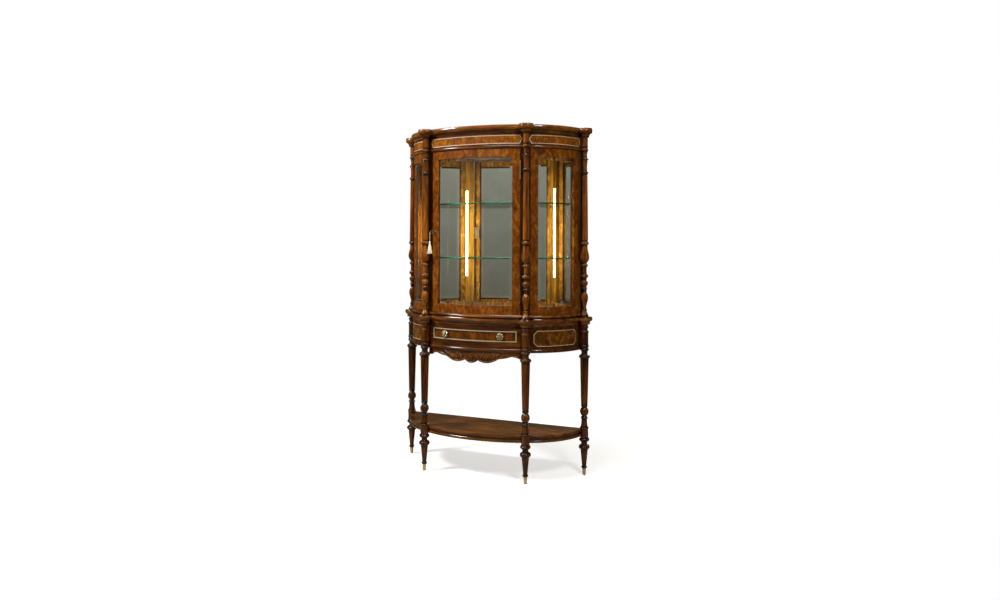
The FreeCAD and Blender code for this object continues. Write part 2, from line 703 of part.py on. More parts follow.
def bay_plan(body, setback, back, under, top):
    """Pad a board whose plan follows the three bays at a setback, straight across the back."""
    sketch = new_sketch(body, "XY_Plane")
    circles = {}
    for bay, (x, y, radius) in BAYS.items():
        circles[bay] = (value(x), value(y), value(radius) - value(setback))
    right_x, right_y, right_radius = circles["right"]
    back_y = value(back)
    corner_x = right_x + (right_radius ** 2 - (right_y - back_y) ** 2) ** 0.5
    front = circle_meeting(circles["centre"], circles["right"])
    upright = FreeCAD.Vector(0, 0, 1)
    ends = {"right": (front, (corner_x, back_y)), "centre": ((-front[0], front[1]), front),
            "left": ((-corner_x, back_y), (-front[0], front[1]))}
    order = ("left", "centre", "right")
    for bay in order:
        x, y, radius = circles[bay]
        circle = Part.Circle(FreeCAD.Vector(x, y, 0), upright, radius)
        span = [circle.parameter(FreeCAD.Vector(*point, 0)) for point in ends[bay]]
        sketch.addGeometry(Part.ArcOfCircle(circle, *span), False)
    sketch.addGeometry(Part.LineSegment(FreeCAD.Vector(corner_x, back_y, 0),
                                        FreeCAD.Vector(-corner_x, back_y, 0)), False)
    rules = [Sketcher.Constraint("Coincident", side, 2, (side + 1) % 4, 1) for side in range(4)]
    rules.append(Sketcher.Constraint("Horizontal", 3))
    bound = [("Back", back)]
    rules.append(Sketcher.Constraint("DistanceY", -1, 1, 3, 1, back_y))
    for index, bay in enumerate(order):
        x, y, radius = circles[bay]
        if bay == "centre":
            rules.append(Sketcher.Constraint("PointOnObject", index, 3, -2))
        else:
            bound.append((f"{bay}X", BAYS[bay][0]))
            rules.append(Sketcher.Constraint("DistanceX", -1, 1, index, 3, x))
        bound.append((f"{bay}Y", BAYS[bay][1]))
        rules.append(Sketcher.Constraint("DistanceY", -1, 1, index, 3, y))
        bound.append((f"{bay}Radius", f"{BAYS[bay][2]} - ({setback})"))
        rules.append(Sketcher.Constraint("Radius", index, radius))
    sketch.addConstraint(rules)
    measured = ("DistanceX", "DistanceY", "Radius")
    driven = [number for number, rule in enumerate(rules) if rule.Type in measured]
    for number, (name, expression) in zip(driven, bound):
        sketch.renameConstraint(number, name)
        sketch.setExpression(f"Constraints.{name}", expression)
    return raise_pad(body, sketch, under, top)


COLUMN_PLACES = {
    "front_left": ("-Sizes.front_half_span", "Plan.front_axis_y", "-Plan.corner_angle"),
    "front_right": ("Sizes.front_half_span", "Plan.front_axis_y", "Plan.corner_angle"),
    "back_left": ("-Sizes.back_half_span", "Plan.rear_axis_y", "-Plan.side_end"),
    "back_right": ("Sizes.back_half_span", "Plan.rear_axis_y", "Plan.side_end"),
}


def moulded_board(name, edge, lobes, back):
    """Board with a moulded edge round the three bays, and round lobes under or over the columns."""
    body = new_body(name)
    core = "Sizes.board_core_setback"
    under = edge[0][1]
    top = edge[-1][1]
    bay_plan(body, core, back, under, top)
    inner = f"{core} + Sizes.bay_overlap"
    section = [(inner, under), *edge, (inner, top)]
    sector(body, "centre", "-Plan.bow_span - Plan.bow_overlap", "Plan.bow_span + Plan.bow_overlap", section)
    for bay in ("right", "left"):
        sector(body, bay, "Plan.side_start - Plan.side_overlap", "90 deg", section)
    if lobes:
        rim = "Sizes.lobe_radius + Sizes.moulding_setback"
        ring = [(f"{rim} - ({corner[0]})", *corner[1:]) for corner in edge]
        for x, y, _angle in COLUMN_PLACES.values():
            sketch = new_sketch(body, "XZ_Plane")
            bind(sketch, AttachmentOffset__Base__x=x, AttachmentOffset__Base__z=f"-({y})")
            draw_outline(sketch, [("0", under), *ring, ("0", top)])
            revolve(body, sketch, FULL_TURN)
    trim_behind(body, back)
    return body


def rounded_edge(setback, relief, under, top, swell):
    """A rounded nosing between two heights."""
    return [(f"{setback} + {relief}", under), (f"{setback} + {relief}", top, swell)]


def coved_board(name, under, cove_top, top, cove_reach):
    """Board with a rounded nosing above a hollow cove, lobed round the columns."""
    edge = [(f"Sizes.moulding_setback + {cove_reach}", under),
            ("Sizes.moulding_setback + 2 * Sizes.edge_relief", cove_top, "-Sizes.cove_hollow"),
            *rounded_edge("Sizes.moulding_setback", "Sizes.edge_relief", cove_top, top, "Sizes.edge_round")]
    return moulded_board(name, edge, True, "Plan.back_y")


def flutes(body, foot, head, radius, sunk, margin, count):
    """Cut round-ended flutes along a tapered shaft between two (radius, height) corners."""
    low_z = f"{foot[1]} + {margin}"
    high_z = f"{head[1]} - {margin}"
    low_r = f"{foot[0]} + {radius} - {sunk}"
    high_r = f"{head[0]} + {radius} - {sunk}"
    swell = f"{radius} * {QUARTER_SWELL}"
    sketch = new_sketch(body, "XZ_Plane")
    draw_outline(sketch, [(low_r, low_z), (f"{low_r} + {radius}", f"{low_z} + {radius}", swell),
                          (f"{high_r} + {radius}", f"{high_z} - {radius}"), (high_r, high_z, swell)])
    groove = body.newObject("PartDesign::Groove", "Flute")
    groove.Profile = (sketch, [""])
    groove.ReferenceAxis = (sketch, ["Edge4"])
    bind(groove, Angle=FULL_TURN)
    ring = body.newObject("PartDesign::PolarPattern", "Flutes")
    ring.Originals = [groove]
    ring.Axis = (origin_feature(body, "Z_Axis"), [""])
    bind(ring, Angle=FULL_TURN)
    ring.Occurrences = count
    body.Tip = ring


def fluted_shaft(body, prefix, turnings, count):
    corners = dict(zip([entry[1] for entry in turnings], turning_corners(prefix, turnings)))
    flutes(body, corners["shaft_low"], corners["shaft_high"], f"Sizes.{prefix}_flute_radius",
           f"Sizes.{prefix}_flute_sunk", f"Sizes.{prefix}_flute_margin", count)


def copy_to(name, master, x, y, angle="0 deg"):
    """Copy of a finished piece, set at a place in plan."""
    obj = doc.addObject("Part::Compound", name)
    obj.Links = [master]
    return place(obj, x, y, "0", angle)


def make_leg():
    """Turned and fluted leg with a block behind its head for the frieze rails."""
    body = new_body("leg")
    tip = "Sizes.ferrule_pin_radius - Sizes.ferrule_play"
    pin = [(tip, "Sizes.ferrule_floor + Sizes.ferrule_play"), (tip, "Plan.foot"),
           ("Sizes.leg_ankle_radius", "Plan.foot")]
    turned(body, pin + turning_corners("leg", LEG_TURNINGS))
    neck = "Sizes.leg_neck_width / 2"
    half = "Sizes.leg_block_width / 2"
    face = "Sizes.base_setback"
    reach = "Plan.block_reach"
    pad(body, "XY_Plane", [(f"-{neck}", "0"), (neck, "0"), (neck, face), (half, face), (half, reach),
                           (f"-{half}", reach), (f"-{half}", face), (f"-{neck}", face)],
        "Plan.base_bottom", "Plan.console_under")
    fluted_shaft(body, "leg", LEG_TURNINGS, LEG_FLUTES)
    return body


def make_ferrule():
    """Brass cup on the foot of a leg."""
    body = new_body("ferrule")
    bore = "Sizes.ferrule_pin_radius"
    turned(body, [("Sizes.ferrule_toe_radius", "0"), ("Sizes.ferrule_top_radius", "Sizes.ferrule_height"),
                  (bore, "Sizes.ferrule_height"), (bore, "Sizes.ferrule_floor")])
    return body


def make_columns():
    """Turned and fluted columns of the case, one over each leg."""
    body = new_body("column")
    turned(body, turning_corners("column", COLUMN_TURNINGS))
    fluted_shaft(body, "column", COLUMN_TURNINGS, COLUMN_FLUTES)
    for corner, (x, y, angle) in COLUMN_PLACES.items():
        label = f"column_{corner}"
        node(copy_to(label, body, x, y, angle), label)


def make_stand():
    """Legs, ferrules, undershelf and console top."""
    leg = make_leg()
    ferrule = make_ferrule()
    ferrules = []
    for corner, (x, y, angle) in COLUMN_PLACES.items():
        label = f"leg_{corner}"
        node(copy_to(label, leg, x, y, angle), label)
        ferrules.append(copy_to(f"ferrule_{corner}", ferrule, x, y))
    group("ferrules", ferrules)
    edge = "Sizes.moulding_setback"
    band_top = "Plan.shelf_under + Sizes.shelf_band"
    groove = f"{edge} + Sizes.edge_relief + Sizes.shelf_groove_depth"
    groove_top = f"{band_top} + Sizes.shelf_groove"
    section = [*rounded_edge(edge, "Sizes.edge_relief", "Plan.shelf_under", band_top, "Sizes.edge_round"),
               (groove, band_top), (groove, groove_top),
               *rounded_edge(edge, "Sizes.edge_relief", groove_top, "Sizes.shelf_top", "Sizes.edge_round")]
    shelf = moulded_board("undershelf", section, False, "Plan.rear_axis_y + Sizes.shelf_back_reach")
    drill(shelf, [spot[:2] for spot in COLUMN_PLACES.values()],
          "Sizes.leg_drum_low_radius + Sizes.turned_clearance")
    node(shelf, "undershelf")
    node(coved_board("console_top", "Plan.console_under", "Sizes.waist_height - Sizes.waist_thumb",
                     "Sizes.waist_height", "Sizes.waist_cove_reach"), "console_top")


def beaded_section(top):
    """Frieze section with a half-round bead along its foot."""
    face = "Sizes.base_setback"
    return [("Plan.base_back", "Plan.base_bottom"), (face, "Plan.base_bottom"),
            (face, "Plan.base_under", "Sizes.base_bead_round"), (face, top), ("Plan.base_back", top)]


def make_base_frieze():
    """Curved rails and panels between the leg heads, and the back rail."""
    lower_top = "Plan.drawer_under - Sizes.drawer_gap"
    upper_under = "Plan.drawer_top + Sizes.drawer_gap"
    upper = new_body("base_rail_upper")
    sector(upper, "centre", "-Plan.rail_half", "Plan.rail_half",
           bar("Sizes.base_setback", "Plan.base_back", upper_under, "Plan.console_under"))
    node(upper, "base_rail_upper")
    lower = new_body("base_rail_lower")
    sector(lower, "centre", "-Plan.rail_half", "Plan.rail_half", beaded_section(lower_top))
    node(lower, "base_rail_lower")
    stiles = []
    opening = ("Plan.drawer_half + Plan.drawer_gap_angle", "Plan.rail_half")
    for side, span in (("right", opening), ("left", mirrored(*opening))):
        stile = new_body(f"drawer_stile_{side}")
        sector(stile, "centre", *span, bar("Sizes.base_setback", "Plan.base_back", lower_top, upper_under))
        stiles.append(stile)
    group("drawer_opening_stiles", stiles)
    for side in ("left", "right"):
        panel = new_body(f"base_panel_{side}")
        sector(panel, side, "Plan.panel_start", "Plan.panel_end", beaded_section("Plan.console_under"))
        node(panel, f"base_panel_{side}")
    make_back_rail()
    make_apron()


def make_back_rail():
    """Straight rail between the blocks of the back legs."""
    reach = "(Plan.block_reach + Sizes.joint_gap)"
    front = "Plan.back_rail_y"
    back = "(Plan.back_rail_y + Sizes.back_rail_thickness)"

    def end(y):
        rise = f"(({y}) - Plan.rear_axis_y - {reach} * cos(Plan.side_end))"
        return f"Sizes.back_half_span - {reach} * sin(Plan.side_end) + {rise} / tan(Plan.side_end)"

    rail = new_body("base_back_rail")
    pad(rail, "XY_Plane", [(f"-({end(front)})", front), (end(front), front), (end(back), back),
                           (f"-({end(back)})", back)], "Plan.base_bottom", "Plan.console_under")
    node(rail, "base_back_rail")


def make_apron():
    """Bowed apron under the drawer, with a scalloped lower edge for the carving."""
    body = new_body("apron")
    bottom = "Plan.base_bottom - Sizes.apron_drop"
    sector(body, "centre", "-Plan.rail_half", "Plan.rail_half",
           bar("Sizes.apron_setback", "Sizes.apron_setback + Sizes.apron_thickness",
               f"{bottom} - Sizes.edge_round", "Plan.base_bottom"))
    hollow = "Sizes.apron_crest_hollow"
    leaf = "Sizes.apron_leaf_round"

    def corner(name, sign, swell=None):
        return (f"{sign}Sizes.apron_{name}_at", f"{bottom} + Sizes.apron_{name}_rise", swell)

    left = [corner("end", "-"), corner("crest", "-", f"-{hollow}"), corner("shoulder", "-", hollow),
            corner("notch", "-", leaf)]
    right = [corner("notch", "", "Sizes.apron_shell_round"), corner("shoulder", "", leaf),
             corner("crest", "", hollow), corner("end", "", f"-{hollow}")]
    far = "Sizes.front_half_span"
    deep = f"{bottom} - Sizes.apron_drop"
    sketch = new_sketch(body, "XZ_Plane")
    draw_outline(sketch, [(f"-{far}", deep), (f"-{far}", left[0][1]), *left, *right,
                          (far, right[-1][1]), (far, deep)])
    pocket_through(body, sketch)
    node(body, "apron")


def make_case_boards():
    """Plinth, ceiling, crown, frieze panels and bead of the glazed case."""
    back = "Plan.back_y"
    edge = rounded_edge("Sizes.plinth_setback", "Sizes.plinth_round", "Sizes.waist_height", "Plan.plinth_top",
                        "Sizes.plinth_round")
    plinth = moulded_board("plinth", edge, False, back)
    drill(plinth, [spot[:2] for spot in COLUMN_PLACES.values()],
          "Sizes.column_base_radius + Sizes.edge_round / 2")
    node(plinth, "plinth")
    node(coved_board("crown", "Plan.crown_under", "Sizes.total_height - Sizes.crown_slab",
                     "Sizes.total_height", "Sizes.crown_cove_reach"), "crown")
    inside = "Sizes.crown_frieze_setback + Sizes.frieze_thickness"
    ceiling = new_body("ceiling_board")
    bay_plan(ceiling, f"{inside} + Sizes.ceiling_play", back, "Plan.case_top", "Plan.frieze_under")
    node(ceiling, "ceiling_board")
    face = "Sizes.crown_frieze_setback"
    frieze = bar(face, inside, "Plan.frieze_under", "Plan.crown_under")
    bead = [(inside, "Plan.case_top"), (face, "Plan.case_top"),
            (face, "Plan.frieze_under", "Sizes.crown_bead_round"), (inside, "Plan.frieze_under")]
    for label, section in (("crown_frieze_panels", frieze), ("crown_bead", bead)):
        group(label, [bowed_panel(f"{label}_{bay}", bay, section) for bay in BAYS])
    inner = f"({inside} + Sizes.ceiling_play)"
    front = f"({back} - Sizes.back_thickness)"
    half = f"(Plan.side_x + sqrt((Plan.side_rad - {inner})^2 - (Plan.side_y - {front})^2))"
    node(block("crown_back_rail", f"-{half}", half, front, back,
               "Plan.frieze_under", "Plan.crown_under"), "crown_back_rail")


def bowed_panel(name, bay, section):
    """Length of crown panel or bead in one bay, mitred clear of its neighbour."""
    body = new_body(name)
    if bay == "centre":
        end = "Plan.bow_span - Sizes.frieze_mitre_gap / Plan.bow_rad * 1 rad"
        sector(body, bay, f"-({end})", end, section)
        return body
    sector(body, bay, "Plan.side_start + Sizes.frieze_mitre_gap / Plan.side_rad * 1 rad", "90 deg", section)
    trim_behind(body, "Plan.back_y")
    return body


def make_posts():
    """Front posts behind the front columns, and back posts beside the back panel."""
    levels = ("Plan.plinth_top", "Plan.case_top")
    section = bar("Sizes.frame_setback", "Plan.post_back", *levels)
    door_side = ("Plan.door_half + Plan.door_gap_angle", "Plan.bow_span + Plan.bow_overlap")
    for side in ("left", "right"):
        post = new_body(f"post_blank_{side}")
        sector(post, "centre", *(door_side if side == "right" else mirrored(*door_side)), section)
        sector(post, side, "Plan.side_start - Plan.side_overlap",
               "Plan.side_frame_start - Plan.side_joint", section)
        if side == "right":
            node(post, "post_front_right")
        else:
            node(cut("post_with_strike", post, strike_pocket()), "post_front_left")
    backs = []
    for side in ("left", "right"):
        post = new_body(f"post_back_{side}")
        sector(post, side, "Plan.side_frame_end + Plan.side_joint", "90 deg", section)
        trim_behind(post, "Plan.back_y")
        backs.append(post)
    group("posts_back", backs)


def glazed_frame(name, bay, start, end, under, top, bottom_rail, top_rail):
    """Stiles, rails, pane and glazing beads of a bowed glazed frame."""
    face = f"({BAYS[bay][2]} - Sizes.frame_setback)"
    stile = f"Sizes.stile_width / {face} * 1 rad"
    rebate = f"Sizes.rebate_width / {face} * 1 rad"
    play = f"Sizes.fit_play / {face} * 1 rad"
    near = "Sizes.frame_setback"
    lip = "Sizes.frame_setback + Sizes.frame_lip"
    far = "Plan.frame_back"
    glass_start = f"({start} + {stile})"
    glass_end = f"({end} - {stile})"
    glass_under = f"({under} + {bottom_rail})"
    glass_top = f"({top} - {top_rail})"
    pieces = {"stiles": [], "rails": [], "beads": []}
    seat = "(Sizes.rebate_width - Sizes.fit_play)"
    bead_levels = (f"{glass_under} - {seat}", f"{glass_top} + {seat}")
    for side, lip_span, back_span, bead_span in (
            ("start", (start, glass_start), (start, f"{glass_start} - {rebate}"),
             (f"{glass_start} - {rebate} + {play}", glass_start)),
            ("end", (glass_end, end), (f"{glass_end} + {rebate}", end),
             (glass_end, f"{glass_end} + {rebate} - {play}"))):
        body = new_body(f"{name}_stile_{side}")
        sector(body, bay, *lip_span, bar(near, lip, under, top))
        sector(body, bay, *back_span, bar(lip, far, under, top))
        pieces["stiles"].append(body)
        bead = new_body(f"{name}_bead_{side}")
        sector(bead, bay, *bead_span, bar("Plan.bead_setback", far, *bead_levels))
        pieces["beads"].append(bead)
    low = [(far, under), (near, under), (near, glass_under), (lip, glass_under),
           (lip, f"{glass_under} - Sizes.rebate_width"), (far, f"{glass_under} - Sizes.rebate_width")]
    high = [(far, f"{glass_top} + Sizes.rebate_width"), (lip, f"{glass_top} + Sizes.rebate_width"),
            (lip, glass_top), (near, glass_top), (near, top), (far, top)]
    for level, section, bead_span in (("bottom", low, (bead_levels[0], glass_under)),
                                      ("top", high, (glass_top, bead_levels[1]))):
        rail = new_body(f"{name}_rail_{level}")
        sector(rail, bay, glass_start, glass_end, section)
        pieces["rails"].append(rail)
        bead = new_body(f"{name}_bead_{level}")
        sector(bead, bay, glass_start, glass_end, bar("Plan.bead_setback", far, *bead_span))
        pieces["beads"].append(bead)
    pane = new_body(f"{name}_pane")
    sector(pane, bay, f"{glass_start} - {rebate} + {play}", f"{glass_end} + {rebate} - {play}",
           bar("Plan.glass_setback", "Plan.glass_setback + Sizes.glass_thickness", *bead_levels))
    pieces["pane"] = pane
    return pieces


def make_side_frames():
    beads = []
    for side in ("left", "right"):
        pieces = glazed_frame(f"side_{side}", side, "Plan.side_frame_start", "Plan.side_frame_end",
                              "Plan.plinth_top", "Plan.case_top", "Sizes.side_bottom_rail",
                              "Sizes.side_top_rail")
        group(f"side_frame_{side}", pieces["stiles"] + pieces["rails"])
        node(pieces["pane"], f"side_glass_{side}")
        beads += pieces["beads"]
    group("side_glazing_beads", beads)


def make_door():
    pieces = glazed_frame("door", "centre", "-Plan.door_half", "Plan.door_half", "Plan.door_under",
                          "Plan.door_top", "Sizes.door_bottom_rail", "Sizes.door_top_rail")
    lock_stile, hinge_stile = pieces["stiles"]
    hole = keyhole("stile_keyhole", "Sizes.frame_setback - Sizes.frame_lip",
                   "Plan.frame_back + Sizes.frame_lip")
    pierced = cut("pierced_stile", lock_stile, hole)
    group("door_stiles", [pierced, hinge_stile])
    group("door_rails", pieces["rails"])
    node(pieces["pane"], "door_glass")
    group("door_glazing_beads", pieces["beads"])


def make_back():
    """Back panel and mirror between the back posts, drilled for the lighting cable."""
    levels = ("Plan.plinth_top", "Plan.case_top")
    half = "Plan.back_half"
    front = "Plan.back_y - Sizes.back_thickness"
    panel = block("panel_blank", f"-{half}", half, front, "Plan.back_y", *levels)
    mirror = block("mirror_blank", f"-{half}", half, "Plan.mirror_y", front, *levels)
    hole = "Sizes.grommet_radius + Sizes.ceiling_play"
    for label, blank in (("back_panel", panel), ("mirror", mirror)):
        tool = new_body(f"{label}_hole")
        reach = "Sizes.back_thickness + Sizes.mirror_thickness"
        turned(tool, [(hole, f"-({reach})"), (hole, reach)], "XY_Plane")
        node(cut(f"{label}_drilled", blank, grommet_place(tool)), label)
    tube = "Sizes.grommet_radius"
    bore = "Sizes.grommet_radius - Sizes.grommet_wall"
    flange = "Sizes.grommet_radius + Sizes.grommet_flange"
    lip = "-Sizes.mirror_thickness - Sizes.back_thickness"
    grommet = new_body("cable_grommet")
    sketch = new_sketch(grommet, "XY_Plane")
    draw_outline(sketch, [(bore, "0"), (bore, f"{lip} - Sizes.grommet_flange_thickness"),
                          (flange, f"{lip} - Sizes.grommet_flange_thickness"), (flange, lip), (tube, lip),
                          (tube, "0")])
    revolve(grommet, sketch, FULL_TURN)
    node(grommet_place(grommet), "cable_grommet")


def grommet_place(obj):
    return place(obj, "Sizes.back_half_span - Sizes.grommet_inset", "Plan.back_y",
                 "Plan.plinth_top + Sizes.grommet_height")


def make_shelves():
    """Glass shelves, the pins that carry them and the lighting strips."""
    back = "Plan.mirror_y - Sizes.glass_shelf_back_gap"
    pins = []
    for level in ("upper", "lower"):
        top = f"Sizes.{level}_shelf_height"
        under = f"{top} - Sizes.glass_shelf_thickness"
        shelf = new_body(f"glass_shelf_{level}")
        bay_plan(shelf, "Sizes.glass_shelf_setback", back, under, top)
        node(shelf, f"glass_shelf_{level}")
        for side, sign in (("left", "-"), ("right", "")):
            front_angle = f"{sign}(Plan.door_half + Sizes.shelf_pin_offset / Plan.bow_rad * 1 rad)"
            for bay, angle in (("centre", front_angle), (side, f"{sign}Plan.back_pin_angle")):
                pins.append(make_shelf_pin(f"pin_{level}_{side}_{bay}", bay, angle, under))
    group("shelf_pins", pins)
    strips = []
    for side, sign in (("left", "-"), ("right", "")):
        angle = f"{sign}(Plan.side_start + Sizes.led_offset / Plan.side_rad * 1 rad)"
        half = "Sizes.led_width / 2"
        seat = "Plan.post_back + Sizes.ceiling_play"
        strips.append(bay_block(f"led_strip_{side}", side, angle, (f"-{half}", half),
                                (seat, f"{seat} + Sizes.led_depth"),
                                ("Sizes.led_bottom", "Sizes.led_bottom + Sizes.led_length")))
    group("led_strips", strips)


def make_shelf_pin(name, bay, angle, shelf_under):
    """Brass pin that stands out of a post under a glass shelf."""
    pin = new_body(name)
    radius = "Sizes.shelf_pin_radius"
    seat = "Plan.post_back + Sizes.fit_play"
    turned(pin, [(radius, "0"), (radius, f"Plan.shelf_pin_tip - ({seat})")], "XY_Plane")
    return place_in_bay(pin, bay, angle, "0", seat, f"{shelf_under} - {radius}")


def hinge_leaf(name, side, knuckles):
    """Hinge leaf with its knuckles, drilled for the pin; the pin's axis is the local upright axis."""
    thickness = "Sizes.hinge_leaf_thickness"
    near = "-Sizes.door_gap / 2"
    if side == "frame":
        near = f"Sizes.door_gap / 2 - {thickness} - Sizes.hinge_leaf_seat"
    depth = "Sizes.frame_thickness - Sizes.hinge_leaf_inset"
    plate = block(f"{name}_plate", near, f"{near} + {thickness}", "Sizes.hinge_barrel_proud",
                  f"Sizes.hinge_barrel_proud + {depth}", "0", "Sizes.hinge_length")
    pieces = [plate]
    for number, (low, high) in enumerate(knuckles):
        barrel = cylinder(f"{name}_barrel{number}", "Sizes.hinge_barrel_radius", f"({high}) - ({low})")
        pieces.append(place(barrel, "0", "0", low))
        web = block(f"{name}_web{number}", near, f"{near} + {thickness}", "0", "Sizes.hinge_barrel_proud",
                    low, high)
        pieces.append(web)
    bore = cylinder(f"{name}_bore", "Sizes.hinge_pin_radius + Sizes.hinge_running_fit", "Sizes.hinge_length")
    return cut(name, fuse(f"{name}_solid", pieces), bore)


def make_hinges():
    """Two butt hinges on the right edge of the door."""
    gap = "Sizes.hinge_knuckle_gap"
    low = "(Sizes.hinge_length / 2 - Sizes.hinge_knuckle / 2)"
    high = "(Sizes.hinge_length / 2 + Sizes.hinge_knuckle / 2)"
    heights = {"lower": "Plan.door_under + Sizes.hinge_end_margin",
               "upper": "Plan.door_top - Sizes.hinge_end_margin - Sizes.hinge_length"}
    spans = {"door": [(low, high)],
             "frame": [("0", f"{low} - {gap}"), (f"{high} + {gap}", "Sizes.hinge_length")]}
    pins = []
    leaves = {"door": [], "frame": []}
    for level, height in heights.items():
        for side, knuckles in spans.items():
            leaf = hinge_leaf(f"hinge_{side}_{level}", side, knuckles)
            leaves[side].append(hinge_place(leaf, height))
        pin = cylinder(f"hinge_pin_{level}", "Sizes.hinge_pin_radius", "Sizes.hinge_length")
        pins.append(hinge_place(pin, height))
    group("hinge_door_leaves", leaves["door"])
    group("hinge_frame_leaves", leaves["frame"])
    group("hinge_pins", pins)


def hinge_place(obj, height):
    return place_in_bay(obj, "centre", "Plan.door_half", "Sizes.door_gap / 2",
                        "Sizes.frame_setback - Sizes.hinge_barrel_proud", height)


def lock_block(name, across, setback, height):
    """Box in the lock's axes: across from the door's free edge into the door."""
    return bay_block(name, "centre", "-Plan.door_half", across, setback, height)


def lock_place(obj, setback):
    return place_in_bay(obj, "centre", "-Plan.door_half", "Sizes.key_edge_offset", setback,
                        "Sizes.key_height")


def keyhole(name, near, far):
    """Tool for a keyhole: a round hole with a slot below it, between two setbacks."""
    radius = "Sizes.key_shank_radius + Sizes.keyhole_play"
    hole = new_body(f"{name}_round")
    turned(hole, [(radius, "0"), (radius, f"({far}) - ({near})")], "XY_Plane")
    lock_place(hole, near)
    half = "Sizes.keyhole_slot / 2"
    middle = "Sizes.key_edge_offset"
    slot = lock_block(f"{name}_slot", (f"{middle} - {half}", f"{middle} + {half}"), (near, far),
                      ("Sizes.key_height - Sizes.key_bit_drop - Sizes.bolt_play", "Sizes.key_height"))
    return fuse(name, [hole, slot])


def bolt_span(play):
    """Section of the bolt's way, with play all round."""
    setback = (f"Plan.bolt_setback - {play}", f"Plan.bolt_setback + Sizes.bolt_thickness + {play}")
    height = (f"Plan.bolt_under - {play}", f"Plan.bolt_under + Sizes.bolt_height + {play}")
    return setback, height


def strike_pocket():
    """Mortise in the left front post that takes the thrown bolt."""
    depth = "-Sizes.bolt_throw - Sizes.strike_thickness"
    return lock_block("strike_mortise", (depth, "0"), *bolt_span("Sizes.bolt_play"))


def make_lock():
    """Rim lock on the inside of the left stile, with bolt, strike, escutcheon and key."""
    wall = "Sizes.lock_wall"
    edge = "Sizes.lock_edge_inset"
    far_edge = f"{edge} + Sizes.lock_width"
    near = "Plan.lock_setback"
    far = f"{near} + Sizes.lock_depth"
    low = "Sizes.key_height - Sizes.lock_below_key"
    high = f"{low} + Sizes.lock_length"
    shell = lock_block("lock_shell", (edge, far_edge), (near, far), (low, high))
    hollow = lock_block("lock_hollow", (f"{edge} + {wall}", f"{far_edge} - {wall}"),
                        (f"{near} - {wall}", f"{far} - {wall}"), (f"{low} + {wall}", f"{high} - {wall}"))
    way = lock_block("lock_way", (f"{edge} - {wall}", f"{edge} + 2 * {wall}"), *bolt_span("Sizes.bolt_play"))
    node(cut("lock_open", shell, fuse("lock_cavity", [hollow, way])), "lock_case")
    node(lock_block("bolt", (edge, f"{edge} + Sizes.bolt_length"), *bolt_span("0")), "lock_bolt")
    setback, height = bolt_span("Sizes.bolt_play")
    margin = "Sizes.strike_margin"
    face = "-Sizes.door_gap + Sizes.strike_seat"
    plate = lock_block("strike_blank", (face, f"{face} + Sizes.strike_thickness"),
                       (setback[0], f"{setback[1]} + {margin} / 2"),
                       (f"{height[0]} - {margin}", f"{height[1]} + {margin}"))
    slot = lock_block("strike_slot", ("-2 * Sizes.door_gap", "Sizes.door_gap"),
                      (f"{setback[0]} - {margin}", setback[1]), height)
    node(cut("strike_cut", plate, slot), "strike_plate")
    disc = new_body("escutcheon_disc")
    rim = "Sizes.escutcheon_radius"
    turned(disc, [(rim, "-Sizes.escutcheon_thickness"), (rim, "0")], "XY_Plane")
    lock_place(disc, "Sizes.frame_setback - Sizes.fit_play / 2")
    node(cut("escutcheon_cut", disc, keyhole("escutcheon_keyhole", "Sizes.frame_setback - Sizes.frame_lip",
                                             "Sizes.frame_setback + Sizes.frame_lip")), "escutcheon")
    make_key()


def make_key():
    """Key with a ring bow, standing in the lock; its shank lies along the local Y axis."""
    body = new_body("key")
    shank = "Sizes.key_shank_radius"
    collar = "Sizes.key_collar_radius"
    collar_in = "-Sizes.key_collar_out"
    collar_out = "-Sizes.key_collar_out - Sizes.key_collar_length"
    turned(body, [(shank, "Plan.key_tip"), (shank, collar_in), (collar, collar_in), (collar, collar_out)],
           "XY_Plane")
    half = "Sizes.key_thickness / 2"
    sketch = new_sketch(body, "YZ_Plane")
    for name, radius in (("Rim", "Sizes.key_ring_radius"), ("Bore", "Sizes.key_ring_bore")):
        index = len(sketch.Geometry)
        centre = FreeCAD.Vector(-value("Plan.key_ring_out"), 0, 0)
        sketch.addGeometry(Part.Circle(centre, FreeCAD.Vector(0, 0, 1), value(radius)), False)
        first = sketch.addConstraint(Sketcher.Constraint("Radius", index, value(radius)))
        sketch.renameConstraint(first, name)
        sketch.setExpression(f"Constraints.{name}", radius)
        sketch.addConstraint(Sketcher.Constraint("PointOnObject", index, 3, -1))
        out = value("Plan.key_ring_out")
        spot = sketch.addConstraint(Sketcher.Constraint("DistanceX", index, 3, -1, 1, out))
        sketch.renameConstraint(spot, f"{name}Out")
        sketch.setExpression(f"Constraints.{name}Out", "Plan.key_ring_out")
    ring = body.newObject("PartDesign::Pad", "Ring")
    ring.Profile = (sketch, [""])
    ring.Midplane = True
    bind(ring, Length="Sizes.key_thickness")
    sketch = new_sketch(body, "YZ_Plane")
    tip = "Plan.key_tip"
    heel = f"{tip} - Sizes.key_bit_length"
    drop = "-Sizes.key_bit_drop"
    draw_outline(sketch, [(heel, drop), (tip, drop), (tip, "0"), (heel, "0")])
    bit = body.newObject("PartDesign::Pad", "Bit")
    bit.Profile = (sketch, [""])
    bit.Midplane = True
    bind(bit, Length=half)
    lock_place(body, "Sizes.frame_setback")
    node(body, "key")


# Route of the tassel's cord in the lock's axes: how far out from the end of the key, and how far down.
CORD_ROUTE = [(1.6, 0.0), (2.9, 7.0), (3.3, 18.0), (2.9, 34.0), (3.1, 50.0)]


def cap_swell(radius, chord_squared):
    """Swell of an arc of a given radius over a chord."""
    return f"({radius} - sqrt({radius}^2 - ({chord_squared}) / 4))"


